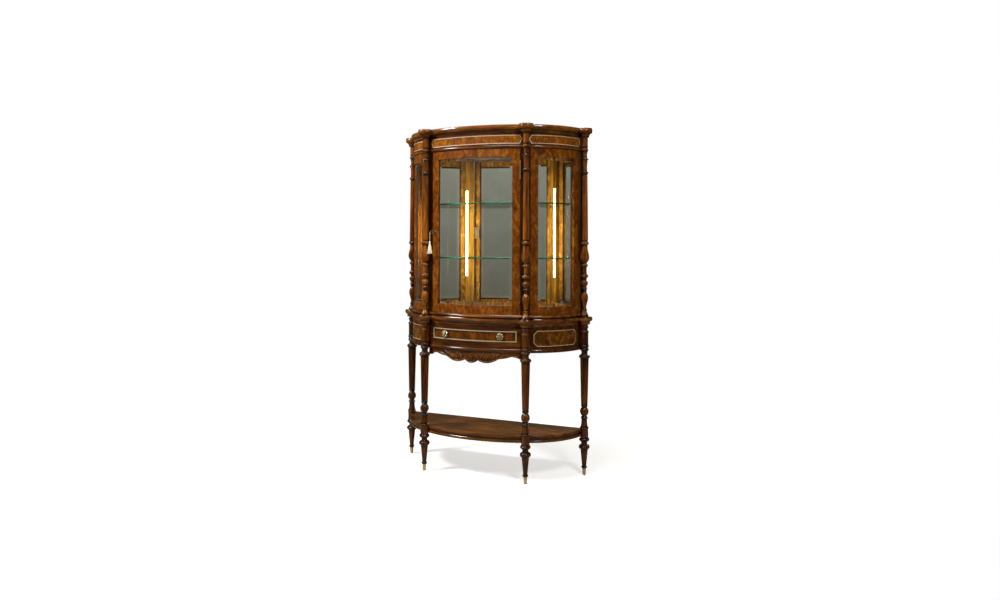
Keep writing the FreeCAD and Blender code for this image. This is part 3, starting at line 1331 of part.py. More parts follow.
def lock_point(out, down):
    """Point on the key's upright plane, from the end of the key."""
    angle = value("-Plan.door_half")
    turn = FreeCAD.Rotation(FreeCAD.Vector(0, 0, 1), angle)
    radius = value("Plan.bow_rad - Sizes.frame_setback + Plan.key_end_out") + out
    spot = turn.multVec(FreeCAD.Vector(value("Sizes.key_edge_offset"), -radius, 0))
    return FreeCAD.Vector(spot.x, spot.y + value("Plan.bow_y"), value("Sizes.key_height") - down)


def cord_path(points):
    """Straight runs joined by tangent arcs as large as the shorter run allows."""
    share = 0.45
    edges = []
    start = points[0]
    for before, corner, after in zip(points, points[1:], points[2:]):
        inward = before - corner
        onward = after - corner
        reach = share * min(inward.Length, onward.Length)
        turn = FreeCAD.Vector(-inward.x, -inward.y, -inward.z).getAngle(onward)
        radius = reach / math.tan(turn / 2)
        inward.normalize()
        onward.normalize()
        first = corner + inward * reach
        last = corner + onward * reach
        bisector = (inward + onward).normalize()
        centre = corner + bisector * (radius * radius + reach * reach) ** 0.5
        middle = centre - bisector * radius
        edges.append(Part.LineSegment(start, first).toShape())
        edges.append(Part.Arc(first, middle, last).toShape())
        start = last
    edges.append(Part.LineSegment(start, points[-1]).toShape())
    return Part.Wire(edges)


def make_tassel():
    """Hanging cord and tassel on the end of the key."""
    points = [lock_point(out, down) for out, down in CORD_ROUTE]
    path = cord_path(points)
    radius = value("Sizes.cord_radius")
    run = points[1] - points[0]
    profile = Part.Wire(Part.Circle(points[0], run, radius).toShape())
    cord = doc.addObject("Part::Feature", "tassel_cord")
    cord.Shape = path.makePipeShell([profile], True, False)
    print("cord length", round(path.Length, 1), "volume", round(cord.Shape.Volume, 2),
          "section times length", round(math.pi * radius * radius * path.Length, 2))
    node(cord, "tassel_cord")
    end = points[-1]
    head = "Sizes.tassel_head_radius"
    neck = "Sizes.tassel_neck_radius"
    skirt = "Sizes.tassel_skirt_radius"
    sunk = f"sqrt({head}^2 - {neck}^2)"
    body = new_body("tassel")
    sketch = new_sketch(body, "XZ_Plane")
    draw_outline(sketch, [("0", f"-2 * {head} - Sizes.tassel_skirt_length"),
                          (skirt, f"-2 * {head} - Sizes.tassel_skirt_length"),
                          (neck, f"-2 * {head}", "-Sizes.edge_round / 2"), (neck, f"-{head} - {sunk}"),
                          ("0", "0", cap_swell(head, f"{neck}^2 + ({head} + {sunk})^2"))])
    revolve(body, sketch, FULL_TURN)
    body.Placement = FreeCAD.Placement(end, FreeCAD.Rotation())
    node(body, "tassel")


def make_drawer():
    """Bow-fronted drawer with a brass bead and rosette knobs, and the runners that carry it."""
    span = ("-Plan.drawer_half", "Plan.drawer_half")
    front = new_body("drawer_front")
    sector(front, "centre", *span, bar("Plan.drawer_face", "Plan.drawer_back_face", "Plan.drawer_under",
                                       "Plan.drawer_top"))
    node(front, "drawer_front")
    make_drawer_bead()
    side = "Plan.drawer_side_x"
    board = "Sizes.drawer_board"
    ends = ("Plan.drawer_front_y", "Plan.drawer_rear_y")
    levels = ("Plan.drawer_side_under", "Plan.drawer_side_top")
    left = block("drawer_side_left", f"-{side}", f"-{side} + {board}", *ends, *levels)
    right = block("drawer_side_right", f"{side} - {board}", side, *ends, *levels)
    inner = f"({side} - {board})"
    back = block("drawer_back", f"-{inner}", inner, f"{ends[1]} - {board}", ends[1],
                 "Plan.drawer_floor_top", levels[1])
    group("drawer_box", [left, right, back])
    floor_front = "Plan.bow_y + Sizes.joint_gap"
    floor = new_body("drawer_bottom")
    reach = "(Plan.bow_rad - Plan.drawer_back_face)"
    corner = f"{floor_front} - sqrt({reach}^2 - {inner}^2)"
    swell = f"{reach} - sqrt({reach}^2 - {inner}^2)"
    pad(floor, "XY_Plane",
        [(f"-{inner}", ends[1]), (f"-{inner}", corner), (inner, corner, swell), (inner, ends[1])],
        "Plan.drawer_floor_under", "Plan.drawer_floor_top")
    node(floor, "drawer_bottom")
    knobs = []
    for name, sign in (("left", "-"), ("right", "")):
        knob = make_knob(f"drawer_knob_{name}")
        angle = f"{sign}asin(Sizes.knob_at / (Plan.bow_rad - Plan.drawer_face))"
        knobs.append(place_in_bay(knob, "centre", angle, "0", "Plan.drawer_face - Sizes.fit_play / 2",
                                  "(Plan.drawer_under + Plan.drawer_top) / 2"))
    group("drawer_knobs", knobs)
    make_runners()


def make_drawer_bead():
    """Brass bead round the edge of the drawer front."""
    bead = new_body("drawer_bead")
    width = "Sizes.drawer_bead_width"
    turn = f"{width} / (Plan.bow_rad - Plan.drawer_face) * 1 rad"
    near = "Sizes.base_setback - Sizes.drawer_bead_proud"
    far = "Plan.drawer_face - Sizes.fit_play / 2"
    low = "Plan.drawer_under"
    high = "Plan.drawer_top"
    sector(bead, "centre", "-Plan.drawer_half", "Plan.drawer_half", bar(near, far, low, f"{low} + {width}"))
    sector(bead, "centre", "-Plan.drawer_half", "Plan.drawer_half", bar(near, far, f"{high} - {width}", high))
    sector(bead, "centre", "-Plan.drawer_half", f"-Plan.drawer_half + {turn}", bar(near, far, low, high))
    sector(bead, "centre", f"Plan.drawer_half - {turn}", "Plan.drawer_half", bar(near, far, low, high))
    node(bead, "drawer_bead")


def make_knob(name):
    """Turned rosette knob about the local Y axis, its foot at zero."""
    body = new_body(name)
    rim_back = "-Sizes.knob_stem_length - Sizes.knob_rim / 2"
    rim_front = "-Sizes.knob_stem_length - 1.5 * Sizes.knob_rim"
    dome = "-Sizes.knob_stem_length - Sizes.knob_rim - Sizes.knob_dome"
    rim = "Sizes.knob_radius"
    stem = "Sizes.knob_stem_radius"
    rise = "(Sizes.knob_dome - Sizes.knob_rim / 2)"
    cap = f"({rim}^2 + {rise}^2)"
    sketch = new_sketch(body, "XY_Plane")
    swell = cap_swell(f"({cap} / (2 * {rise}))", cap)
    draw_outline(sketch, [("0", "0"), ("0", dome), (rim, rim_front, swell),
                          (rim, rim_back, "Sizes.edge_round / 4"), (stem, "-Sizes.knob_stem_length"),
                          (stem, "-Sizes.knob_rim"), ("Sizes.knob_foot_radius", "-Sizes.knob_rim / 4"),
                          ("Sizes.knob_foot_radius", "0")])
    revolve(body, sketch, FULL_TURN)
    return body


def make_runners():
    """Runner under each side of the drawer, from the lower rail to the back rail."""
    runners = []
    outer = "(Plan.drawer_side_x + Sizes.drawer_board)"
    under = "Plan.runner_top - Sizes.runner_height"
    for name, near, far in (("left", f"-{outer}", f"-{outer} + Sizes.runner_width"),
                            ("right", f"{outer} - Sizes.runner_width", outer)):
        runners.append(block(f"runner_{name}", near, far, "Plan.runner_front_y", "Plan.back_rail_y", under,
                             "Plan.runner_top"))
    group("drawer_runners", runners)


def check_model():
    """Stop on any failed object, or on a piece that is empty or not valid."""
    for obj in doc.Objects:
        if "Invalid" in obj.State or "Error" in obj.State:
            raise RuntimeError(f"{obj.Label} failed: {obj.State}")
    for obj in nodes:
        if obj.Shape.isNull() or not obj.Shape.isValid() or not obj.Shape.Solids:
            raise RuntimeError(f"{obj.Label} has no valid solid")


make_stand()
make_base_frieze()
make_case_boards()
make_columns()
make_posts()
make_side_frames()
make_door()
make_back()
make_shelves()
make_hinges()
make_lock()
make_tassel()
make_drawer()
doc.recompute()
check_model()
os.makedirs("parts", exist_ok=True)
for obj in nodes:
    obj.Shape.exportStep(f"parts/{obj.Label}.step")
print(len(nodes), "pieces written")
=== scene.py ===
"""Finish, carving, inlay and lighting of the bow-fronted display cabinet, on its CAD frame."""

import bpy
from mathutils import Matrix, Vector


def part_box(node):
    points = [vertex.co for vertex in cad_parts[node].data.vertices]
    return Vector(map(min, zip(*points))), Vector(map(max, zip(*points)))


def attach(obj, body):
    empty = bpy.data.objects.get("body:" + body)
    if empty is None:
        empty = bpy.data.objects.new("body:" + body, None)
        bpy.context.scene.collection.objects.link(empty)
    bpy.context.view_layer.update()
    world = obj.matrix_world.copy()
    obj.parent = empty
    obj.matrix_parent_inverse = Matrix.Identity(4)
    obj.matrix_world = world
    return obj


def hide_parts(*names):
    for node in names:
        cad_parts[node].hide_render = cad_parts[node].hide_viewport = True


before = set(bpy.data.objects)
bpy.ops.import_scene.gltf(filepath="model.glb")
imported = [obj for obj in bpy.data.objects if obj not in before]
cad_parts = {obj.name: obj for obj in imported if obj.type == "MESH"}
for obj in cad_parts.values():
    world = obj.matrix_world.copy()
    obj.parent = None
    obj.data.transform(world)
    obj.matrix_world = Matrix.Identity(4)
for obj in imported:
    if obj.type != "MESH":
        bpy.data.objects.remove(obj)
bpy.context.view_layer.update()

import math
import random
from collections import namedtuple

import bpy
from mathutils import Matrix, Vector

bl_info = {
    "name": "Bow-fronted display cabinet",
    "version": (1, 0, 0),
    "blender": (4, 5, 0),
    "location": "View3D > Sidebar > Cabinet",
    "description": "Finishes, carving, inlay, glazing and stage of a glazed cabinet on a console stand",
    "category": "Object",
}

MM = 0.001
# Length, in metres, of the rule along which heights are marked in the finish of turned pieces.
RULE = 2.0
# A ramp has room for 32 stops, and a painted shade line takes four.
SHADE_LINES_IN_RAMP = 8
# Colour of a painted shade line, and the white that leaves a colour as it is when it is multiplied.
SHADE_LINE, PLAIN_WHITE = "#120803", "#ffffff"
# Places of a stain's dark, light and middle tones on its ramp.
STAIN_STOPS = (0.0, 1.0, 0.5)
# Depth by which a pane sits in its frame.
PANE_REBATE = 8 * MM
# Angle, setback and height of the drawer's knobs in the centre bay.
KNOB_ANGLE, KNOB_SETBACK, KNOB_HEIGHT = math.radians(12.758), 27.9 * MM, 771 * MM
# Camera's place in metres and its turns in degrees; the lamps look at the middle of the cabinet.
CAMERA_PLACE = (1.735, -3.906, 1.263)
CAMERA_TURNS = ((23.15, "Z"), (90.329, "X"), (0.21, "Z"))
CASE_MIDDLE = (0, 0, 1.0)

# Angles, heights and setbacks of a piece in a bay.
Extent = namedtuple("Extent", "start end low high near far")

# Centre, radius and outward sign of the arc that joins the column axes in each bay, in metres.
BAYS = {
    "centre": (0.0, 0.569653, 0.761653, 1),
    "right": (0.178954, 0.214436, 0.365420, 1),
    "left": (-0.178954, 0.214436, 0.365420, -1),
}
# Axes of the columns and legs, in metres.
CORNERS = {
    "front_left": (-0.301, -0.130),
    "front_right": (0.301, -0.130),
    "back_left": (-0.539, 0.152),
    "back_right": (0.539, 0.152),
}

# Route of the tassel's cord, from the key's ring to the tassel's head, in metres.
TASSEL_CORD = [
    (-0.258567, -0.153936, 1.328),
    (-0.259028, -0.155151, 1.321),
    (-0.259170, -0.155525, 1.310),
    (-0.259028, -0.155151, 1.294),
    (-0.259099, -0.155338, 1.278),
]
CORD_DIAMETER = 0.002

LEGS = ["leg_" + corner for corner in CORNERS]
COLUMNS = ["column_" + corner for corner in CORNERS]
CASE_MOULDINGS = ["crown", "crown_bead", "plinth", "console_top", "ceiling_board"]
STAND_TIMBER = ["base_rail_upper", "base_rail_lower", "drawer_opening_stiles", "apron"]
DARK_TIMBER = [
    "side_glazing_beads", "door_glazing_beads", "crown_back_rail", "base_back_rail", "drawer_runners",
    "back_panel",
]
PANEL_GROUND = ["base_panel_left", "base_panel_right"]
UPRIGHT_VENEER = ["door_stiles", "side_frame_left", "side_frame_right"]
POSTS = ["post_front_left", "post_front_right"]
# Stains of the waxed inside of the case, whose light honey tone is partly painted light from the strips, and
# of what stays out of sight.
HONEY = ("#4e360f", "#a6843a", "#785820")
DARK_STAIN = ("#140703", "#54280f", "#321508")
DRAWER_LINING = ["drawer_box", "drawer_bottom"]
BRASSWARE = [
    "shelf_pins", "hinge_frame_leaves", "hinge_pins", "hinge_door_leaves", "strike_plate",
    "lock_bolt", "escutcheon", "key", "drawer_knobs",
]


def linear(hex_colour):
    """Linear red, green, blue and alpha of an sRGB hex colour."""
    channels = [int(hex_colour[i:i + 2], 16) / 255 for i in (1, 3, 5)]
    return [c / 12.92 if c <= 0.04045 else ((c + 0.055) / 1.055) ** 2.4 for c in channels] + [1.0]


def add(tree, kind, inputs=None, stops=(), **settings):
    """Adds a node with its settings; each input is a value or the socket that feeds it."""
    node = tree.nodes.new(kind)
    for name, setting in settings.items():
        setattr(node, name, setting)
    for name, source in (inputs or {}).items():
        if isinstance(source, bpy.types.NodeSocket):
            tree.links.new(source, node.inputs[name])
        else:
            node.inputs[name].default_value = source
    for number, (position, hex_colour) in enumerate(stops):
        elements = node.color_ramp.elements
        stop = elements[number] if number < 2 else elements.new(position)
        stop.position = position
        stop.color = linear(hex_colour)
    return node


def new_material(name):
    """Empty material; returns it with its node tree and its texture coordinates."""
    material = bpy.data.materials.new(name)
    material.use_nodes = True
    tree = material.node_tree
    tree.nodes.clear()
    return material, tree, add(tree, "ShaderNodeTexCoord").outputs


def surface(tree, inputs):
    """Makes a principled shader with these inputs the surface of a material."""
    shader = add(tree, "ShaderNodeBsdfPrincipled", inputs).outputs[0]
    add(tree, "ShaderNodeOutputMaterial", {"Surface": shader})


def noise(tree, place, size_mm, detail, **more):
    """Noise in patches of this size, from 0 to 1."""
    inputs = {"Vector": place, "Scale": per_mm(size_mm), "Detail": detail, **more}
    return add(tree, "ShaderNodeTexNoise", inputs).outputs["Fac"]


def ramp(tree, share, stops):
    """Colour looked up along a share, between stops of position and hex colour."""
    return add(tree, "ShaderNodeValToRGB", {"Fac": share}, stops=stops).outputs["Color"]


def remap(tree, value, low=0.0, high=1.0, to_low=0.0, to_high=1.0, **settings):
    """Value taken from one range to another, and held at its ends."""
    inputs = {"Value": value, "From Min": low, "From Max": high, "To Min": to_low, "To Max": to_high}
    return add(tree, "ShaderNodeMapRange", inputs, **settings).outputs[0]


def blend(tree, share, first, second, how="MIX"):
    """Two colours mixed by a share, or multiplied."""
    inputs = {0: share, 6: first, 7: second}
    return add(tree, "ShaderNodeMix", inputs, data_type="RGBA", blend_type=how).outputs[2]


def maths(tree, how, first, second=0.0):
    """Sum, product, sine or comparison of values."""
    return add(tree, "ShaderNodeMath", {0: first, 1: second}, operation=how).outputs[0]


def axis_of(tree, vector, axis):
    """One axis of a vector."""
    return add(tree, "ShaderNodeSeparateXYZ", {"Vector": vector}).outputs[axis]


def raised(tree, height, strength, depth_mm):
    """Normal that follows a fine relief."""
    inputs = {"Height": height, "Strength": strength, "Distance": depth_mm * MM}
    return add(tree, "ShaderNodeBump", inputs).outputs[0]


def shade_and_dirt_in_hollows(tree, colour, reach_mm, hollow_colour, closed, clear, **settings):
    """Colour darkened in its hollows, from closed corners to where the surface lies clear: painted shade,
    with dirt and tarnish.
    """
    inputs = {"Distance": reach_mm * MM}
    hollow = add(tree, "ShaderNodeAmbientOcclusion", inputs, samples=6, **settings).outputs["AO"]
    return blend(tree, 1.0, colour, ramp(tree, hollow, ((closed, hollow_colour), (clear, PLAIN_WHITE))), "MULTIPLY")


def per_mm(millimetres):
    """Texture scale, in cells per metre, for a pattern of this size."""
    return 1000 / millimetres


def sizes():
    """Sizes that the panel shows."""
    return bpy.context.scene.cabinet_sizes


def colours():
    """Colours that the panel shows."""
    return bpy.context.scene.cabinet_colours


def on_bay(bay, angle, setback, height):
    """Point at an angle in a bay, behind the arc that joins the column axes."""
    x, y, radius, sign = BAYS[bay]
    reach = radius - setback
    return Vector((x + sign * reach * math.sin(angle), y - reach * math.cos(angle), height))


def bay_extent(node, bay):
    """Angles, heights and setbacks between which a CAD node lies in a bay."""
    x, y, radius, sign = BAYS[bay]
    points = [v.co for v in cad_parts[node].data.vertices]
    angles = [math.atan2(sign * (p.x - x), y - p.y) for p in points]
    setbacks = [radius - math.hypot(p.x - x, p.y - y) for p in points]
    heights = [p.z for p in points]
    return Extent(min(angles), max(angles), min(heights), max(heights), min(setbacks), max(setbacks))


def start_piece(name, scale=(1, 1, 1)):
    """Names and sizes the new primitive and goes into edit mode with all of it selected."""
    piece = bpy.context.object
    piece.name = name
    piece.data.name = name
    piece.scale = scale
    bpy.ops.object.transform_apply(location=True, rotation=True, scale=True)
    bpy.ops.object.mode_set(mode="EDIT")
    bpy.ops.mesh.select_all(action="SELECT")
    return piece


def leave_edit(piece, smooth_angle=35):
    """Merges doubles, turns faces outwards, smooths and goes back to object mode."""
    bpy.ops.mesh.select_all(action="SELECT")
    bpy.ops.mesh.remove_doubles(threshold=1e-6)
    bpy.ops.mesh.normals_make_consistent(inside=False)
    bpy.ops.object.mode_set(mode="OBJECT")
    bpy.ops.object.shade_smooth_by_angle(angle=math.radians(smooth_angle))
    return piece


def deselect():
    """Goes back to object mode with nothing selected."""
    if bpy.context.object and bpy.context.object.mode != "OBJECT":
        bpy.ops.object.mode_set(mode="OBJECT")
    bpy.ops.object.select_all(action="DESELECT")


def pick(piece, kind, parts, test):
    """Selects, in edit mode, the faces or vertices that pass the test."""
    bpy.ops.mesh.select_mode(type=kind)
    bpy.ops.mesh.select_all(action="DESELECT")
    bpy.ops.object.mode_set(mode="OBJECT")
    for part in getattr(piece.data, parts):
        part.select = test(part)
    bpy.ops.object.mode_set(mode="EDIT")


def pick_faces(piece, test):
    """Selects the faces whose normal passes the test."""
    pick(piece, "FACE", "polygons", lambda face: test(face.normal))


def pick_points(piece, test):
    """Selects the vertices whose place passes the test."""
    pick(piece, "VERT", "vertices", lambda point: test(point.co))


def slice_across(half, step):
    """Cuts the piece in edit mode across its length, so that it can follow a curve."""
    count = max(2, round(2 * half / step))
    for number in range(1, count):
        bpy.ops.mesh.select_all(action="SELECT")
        place = -half + 2 * half * number / count
        bpy.ops.mesh.bisect(plane_co=(place, 0, 0), plane_no=(1, 0, 0))


def wrap_on_bay(piece, bay, middle, setback):
    """Bends a flat piece onto a bay: x runs along the arc, y goes inwards, z stays."""
    radius = BAYS[bay][2] - setback
    for point in piece.data.vertices:
        angle = middle + point.co.x / radius
        point.co = on_bay(bay, angle, setback + point.co.y, point.co.z)


def bend_on_bay(piece, bay, middle, setback, smooth_angle=35):
    """Takes a flat piece out of edit mode and bends it onto a bay."""
    bpy.ops.object.mode_set(mode="OBJECT")
    wrap_on_bay(piece, bay, middle, setback)
    bpy.ops.object.mode_set(mode="EDIT")
    leave_edit(piece, smooth_angle)


def apply_modifier(piece, kind, **settings):
    """Adds a modifier with its settings and applies it."""
    modifier = piece.modifiers.new(kind.title(), kind)
    for name, setting in settings.items():
        setattr(modifier, name, setting)
    bpy.context.view_layer.objects.active = piece
    bpy.ops.object.modifier_apply(modifier=modifier.name)


def upright_sheet(name, width, height):
    """Flat sheet that faces the front, in edit mode."""
    deselect()
    bpy.ops.mesh.primitive_plane_add(size=1, rotation=(math.pi / 2, 0, 0))
    return start_piece(name, (width, height, 1))


def start_block(name, size, place):
    """Block of this size at a place, in edit mode."""
    deselect()
    bpy.ops.mesh.primitive_cube_add(size=1, location=place)
    return start_piece(name, size)


def turn(name, profile, segments):
    """Turns a piece about the upright axis by extruding a ring through (radius, height) steps."""
    deselect()
    radius, height = profile[0]
    bpy.ops.mesh.primitive_circle_add(vertices=segments, radius=radius, fill_type="NGON",
                                      location=(0, 0, height))
    piece = start_piece(name)
    for next_radius, next_height in profile[1:]:
        bpy.ops.mesh.extrude_region_move(TRANSFORM_OT_translate={"value": (0, 0, next_height - height)})
        share = next_radius / radius
        bpy.ops.transform.resize(value=(share, share, 1), center_override=(0, 0, next_height))
        radius, height = next_radius, next_height
    return leave_edit(piece)


def join_as(name, pieces):
    """Joins pieces into one object."""
    deselect()
    for piece in pieces:
        piece.select_set(True)
    bpy.context.view_layer.objects.active = pieces[0]
    bpy.ops.object.join()
    joined = bpy.context.object
    joined.name = name
    joined.data.name = name
    return joined


def copy_piece(piece, matrix):
    """Copy of a piece with its own mesh, put in place."""
    twin = piece.copy()
    twin.data = piece.data.copy()
    bpy.context.scene.collection.objects.link(twin)
    twin.data.transform(matrix)
    return twin


def smooth_lines(name, paths, thickness, rounding, resolution):
    """Curve of round lines along paths of (x, y, z, radius), the radius as a multiple of the thickness."""
    deselect()
    curve = bpy.data.curves.new(name, "CURVE")
    curve.dimensions = "3D"
    curve.bevel_depth = thickness
    curve.bevel_resolution = rounding
    curve.use_fill_caps = True
    curve.resolution_u = resolution
    for path in paths:
        spline = curve.splines.new("NURBS")
        spline.points.add(len(path) - 1)
        for point, (x, y, z, radius) in zip(spline.points, path):
            point.co = (x, y, z, 1)
            point.radius = radius
        spline.order_u = 3
        spline.use_endpoint_u = True
    lines = bpy.data.objects.new(name, curve)
    bpy.context.scene.collection.objects.link(lines)
    return lines


def ribs_from_paths(name, paths, resolution=6):
    """Round tapering ribs along paths of (x, y, z, radius), as one mesh."""
    ribs = smooth_lines(name, paths, 1.0, 3, resolution)
    ribs.select_set(True)
    bpy.context.view_layer.objects.active = ribs
    bpy.ops.object.convert(target="MESH")
    bpy.ops.object.mode_set(mode="EDIT")
    return leave_edit(bpy.context.object, 60)


def dress(names, material):
    """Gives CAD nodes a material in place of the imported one."""
    for name in names:
        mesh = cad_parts[name].data
        mesh.materials.clear()
        mesh.materials.append(material)


def finish_piece(piece, material, body, replaced=()):
    """Gives a new piece its material, body and slot, and hides the nodes it stands for."""
    piece.data.materials.clear()
    piece.data.materials.append(material)
    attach(piece, body)
    if replaced:
        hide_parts(*replaced)


def area_lamp(name, place, aim, power, **settings):
    """Area lamp at a place, turned in a direction."""
    lamp = bpy.data.lights.new(name, "AREA")
    lamp.energy = power
    for setting, value in settings.items():
        setattr(lamp, setting, value)
    light = bpy.data.objects.new(name, lamp)
    bpy.context.scene.collection.objects.link(light)
    turned = Vector(aim).to_track_quat("-Z", "Y").to_matrix().to_4x4()
    light.matrix_world = Matrix.Translation(place) @ turned
    return light


def polished_timber(name, stains, grain, figure_mm=60, gloss=0.26, behind=None, hollow_mm=20, unshaded_from=0.8,
                    shade_lines=(), core_mm=2.5, shade_mm=4.0):
    """Close hardwood, stained and french polished, darkened in its hollows by painted shade with old dirt,
    and by painted shade lines at set heights.
    """
    material, tree, place = new_material(name)
    run = add(tree, "ShaderNodeMapping", {"Vector": place["Object"], "Scale": grain}).outputs["Vector"]
    # Growth-ring streaks about 7 mm wide: real ones are 2 mm, too fine to show at this distance.
    streak = noise(tree, run, 7, 5.0, Roughness=0.62, Distortion=0.4)
    figure = noise(tree, run, figure_mm, 3.0, Distortion=1.6)
    tone = remap(tree, maths(tree, "ADD", streak, figure), 0.72, 1.28)
    colour = ramp(tree, tone, zip(STAIN_STOPS, stains))
    if behind:
        # Faces that look to the back have stains of their own: inside the case they are only waxed, and their
        # lighter tone is also painted light from the strips.
        turned = remap(tree, axis_of(tree, place["Normal"], "Y"), 0.2, 0.5)
        colour = blend(tree, turned, colour, ramp(tree, tone, zip(STAIN_STOPS, behind)))
    # Painted shade, with old polish and dust, darkens where turnings, mouldings and neighbouring pieces meet.
    colour = shade_and_dirt_in_hollows(tree, colour, hollow_mm, "#261a13", unshaded_from - 0.58, unshaded_from)
    up = remap(tree, axis_of(tree, place["Object"], "Z"), 0.0, RULE)
    reach = core_mm + shade_mm
    for first in range(0, len(shade_lines), SHADE_LINES_IN_RAMP):
        # Painted shade lines beside the rings, each fading through a soft painted shade above and below.
        lines = [((height + across * MM) / RULE, tint) for height in shade_lines[first:first + SHADE_LINES_IN_RAMP]
                 for across, tint in ((-reach, PLAIN_WHITE), (-core_mm, SHADE_LINE), (core_mm, SHADE_LINE), (reach, PLAIN_WHITE))]
        colour = blend(tree, 1.0, colour, ramp(tree, up, lines), "MULTIPLY")
    pores = noise(tree, run, 2.5, 2.0)
    rough = remap(tree, streak, 0.3, 0.7, gloss - 0.05, gloss + 0.08)
    surface(tree, {"Base Color": colour, "Roughness": rough, "Normal": raised(tree, pores, 0.08, 0.2),
                   "IOR": 1.45, "Specular IOR Level": 0.06, "Coat Weight": 0.7, "Coat Roughness": 0.13})
    return material


def aged_brass(name, bright, tarnish, roughness):
    """Cast brass, rubbed bright on its high places and brown in its hollows."""
    material, tree, place = new_material(name)
    # Patches of tarnish about 4 mm across.
    patch = noise(tree, place["Object"], 4, 4.0)
    tint = ramp(tree, patch, ((0.35, tarnish), (0.6, bright)))
    colour = shade_and_dirt_in_hollows(tree, tint, 5, "#2a1e0e", 0.3, 0.8, only_local=True)
    rough = remap(tree, patch, to_low=roughness + 0.12, to_high=roughness - 0.08)
    surface(tree, {"Base Color": colour, "Roughness": rough, "Metallic": 1.0})
    return material


def clear_glass(name, tint, ior=1.5, clear=1.0):
    """Float glass: clear, with the faint green that iron gives it."""
    material, tree, place = new_material(name)
    # Faint smears from cleaning, about 60 mm long.
    rough = remap(tree, noise(tree, place["Object"], 60, 3.0), 0.5, 0.8, 0.0, 0.012)
    glass = add(tree, "ShaderNodeBsdfPrincipled", {"Base Color": tint, "Roughness": rough, "IOR": ior,
                                                   "Transmission Weight": clear}).outputs[0]
    # Lamp light goes straight through the sheet, so a shelf throws no hard shadow.
    through = add(tree, "ShaderNodeBsdfTransparent").outputs[0]
    shadow = add(tree, "ShaderNodeLightPath").outputs["Is Shadow Ray"]
    sheet = add(tree, "ShaderNodeMixShader", {0: shadow, 1: glass, 2: through}).outputs[0]
    add(tree, "ShaderNodeOutputMaterial", {"Surface": sheet})
    return material


def silvered_mirror():
    """Mirror plate: silver behind glass, a little grey-green."""
    material, tree, place = new_material("silvered_mirror_plate")
    # Haze in patches about 120 mm across, as on an old plate.
    haze = noise(tree, place["Object"], 120, 4.0)
    tint = ramp(tree, haze, ((0.3, "#cfcdc1"), (0.7, "#dbd9cf")))
    surface(tree, {"Base Color": tint, "Roughness": remap(tree, haze, to_high=0.02), "Metallic": 1.0})
    return material


def glowing_strip():
    """Warm lighting strip: a milky cover over single lamps, which show one by one in faint reflections."""
    material, tree, place = new_material("milky_diffuser_over_lamps")
    phase = maths(tree, "MULTIPLY", axis_of(tree, place["Object"], "Z"), math.tau / sizes().lamp_spacing)
    strength = sizes().lamp_strength
    lamps = remap(tree, maths(tree, "SINE", phase), 0.2, 0.8, 0.2 * strength, 3.4 * strength)
    # Only the cover shines: the face that looks inwards.
    cover = maths(tree, "GREATER_THAN", axis_of(tree, place["Normal"], "Y"), 0.7)
    surface(tree, {"Base Color": colours().lamp_cover, "Roughness": 0.4,
                   "Emission Color": colours().lamp_light,
                   "Emission Strength": maths(tree, "MULTIPLY", lamps, cover)})
    return material


def thread(name, colour, shade, spacing_mm):
    """Twisted rayon thread: soft sheen, and painted shade along the line between the strands."""
    material, tree, place = new_material(name)
    # Strands drawn coarser than real thread, so that they show.
    inputs = {"Vector": place["Object"], "Scale": per_mm(spacing_mm) / math.tau, "Distortion": 3.0,
              "Detail": 2.0}
    strand = add(tree, "ShaderNodeTexWave", inputs, bands_direction="X").outputs["Fac"]
    surface(tree, {"Base Color": ramp(tree, strand, ((0.1, shade), (0.7, colour))), "Roughness": 0.55,
                   "Normal": raised(tree, strand, 0.5, 0.4), "Sheen Weight": 0.4, "Sheen Roughness": 0.4})
    return material


def plain_stuff(name, dark, light, spot_mm, roughness):
    """Plain stuff with slight mottling: lining wood, inlay, rubber, floor paint."""
    material, tree, place = new_material(name)
    spot = noise(tree, place["Object"], spot_mm, 5.0)
    surface(tree, {"Base Color": ramp(tree, spot, ((0.3, dark), (0.7, light))), "Roughness": roughness,
                   "Normal": raised(tree, spot, 0.05, 0.2)})
    return material


class CabinetSizes(bpy.types.PropertyGroup):
    """Sizes of the inlay, glazing, carving and light."""

    string_width: bpy.props.FloatProperty(
        name="Stringing width", description="Width of the pale inlaid lines", default=3.2 * MM, unit="LENGTH")
    string_proud: bpy.props.FloatProperty(
        name="Stringing thickness", description="Thickness of the inlay, half of it sunk in the wood",
        default=0.8 * MM, unit="LENGTH")
    pane_bevel: bpy.props.FloatProperty(
        name="Glass bevel", description="Width of the bevel seen round each pane", default=16 * MM,
        unit="LENGTH")
    pane_edge: bpy.props.FloatProperty(
        name="Bevel depth", description="Thickness that the bevel takes off at the edge of a pane",
        default=1.4 * MM, unit="LENGTH")
    curve_step: bpy.props.FloatProperty(
        name="Curve step", description="Length of the flats that make up a bowed piece", default=11 * MM,
        unit="LENGTH")
    petals: bpy.props.IntProperty(
        name="Knob petals", description="Petals round each drawer knob", default=8, min=5)
    leaves: bpy.props.IntProperty(
        name="Leaves", description="Carved leaves round each vase and bulb", default=8, min=5)
    tassel_strands: bpy.props.IntProperty(
        name="Tassel strands", description="Strands round the tassel's skirt", default=30, min=12)
    lamp_strength: bpy.props.FloatProperty(
        name="Lamp strength", description="Brightness of the lighting strips", default=90.0, min=0.0)
    lamp_spacing: bpy.props.FloatProperty(
        name="Lamp spacing", description="Distance between the lamps of a strip", default=17 * MM,
        unit="LENGTH")
    bounce_power: bpy.props.FloatProperty(
        name="Bounce", description="Light that the mirror throws back onto each post", default=5.5, min=0.0,
        unit="POWER")


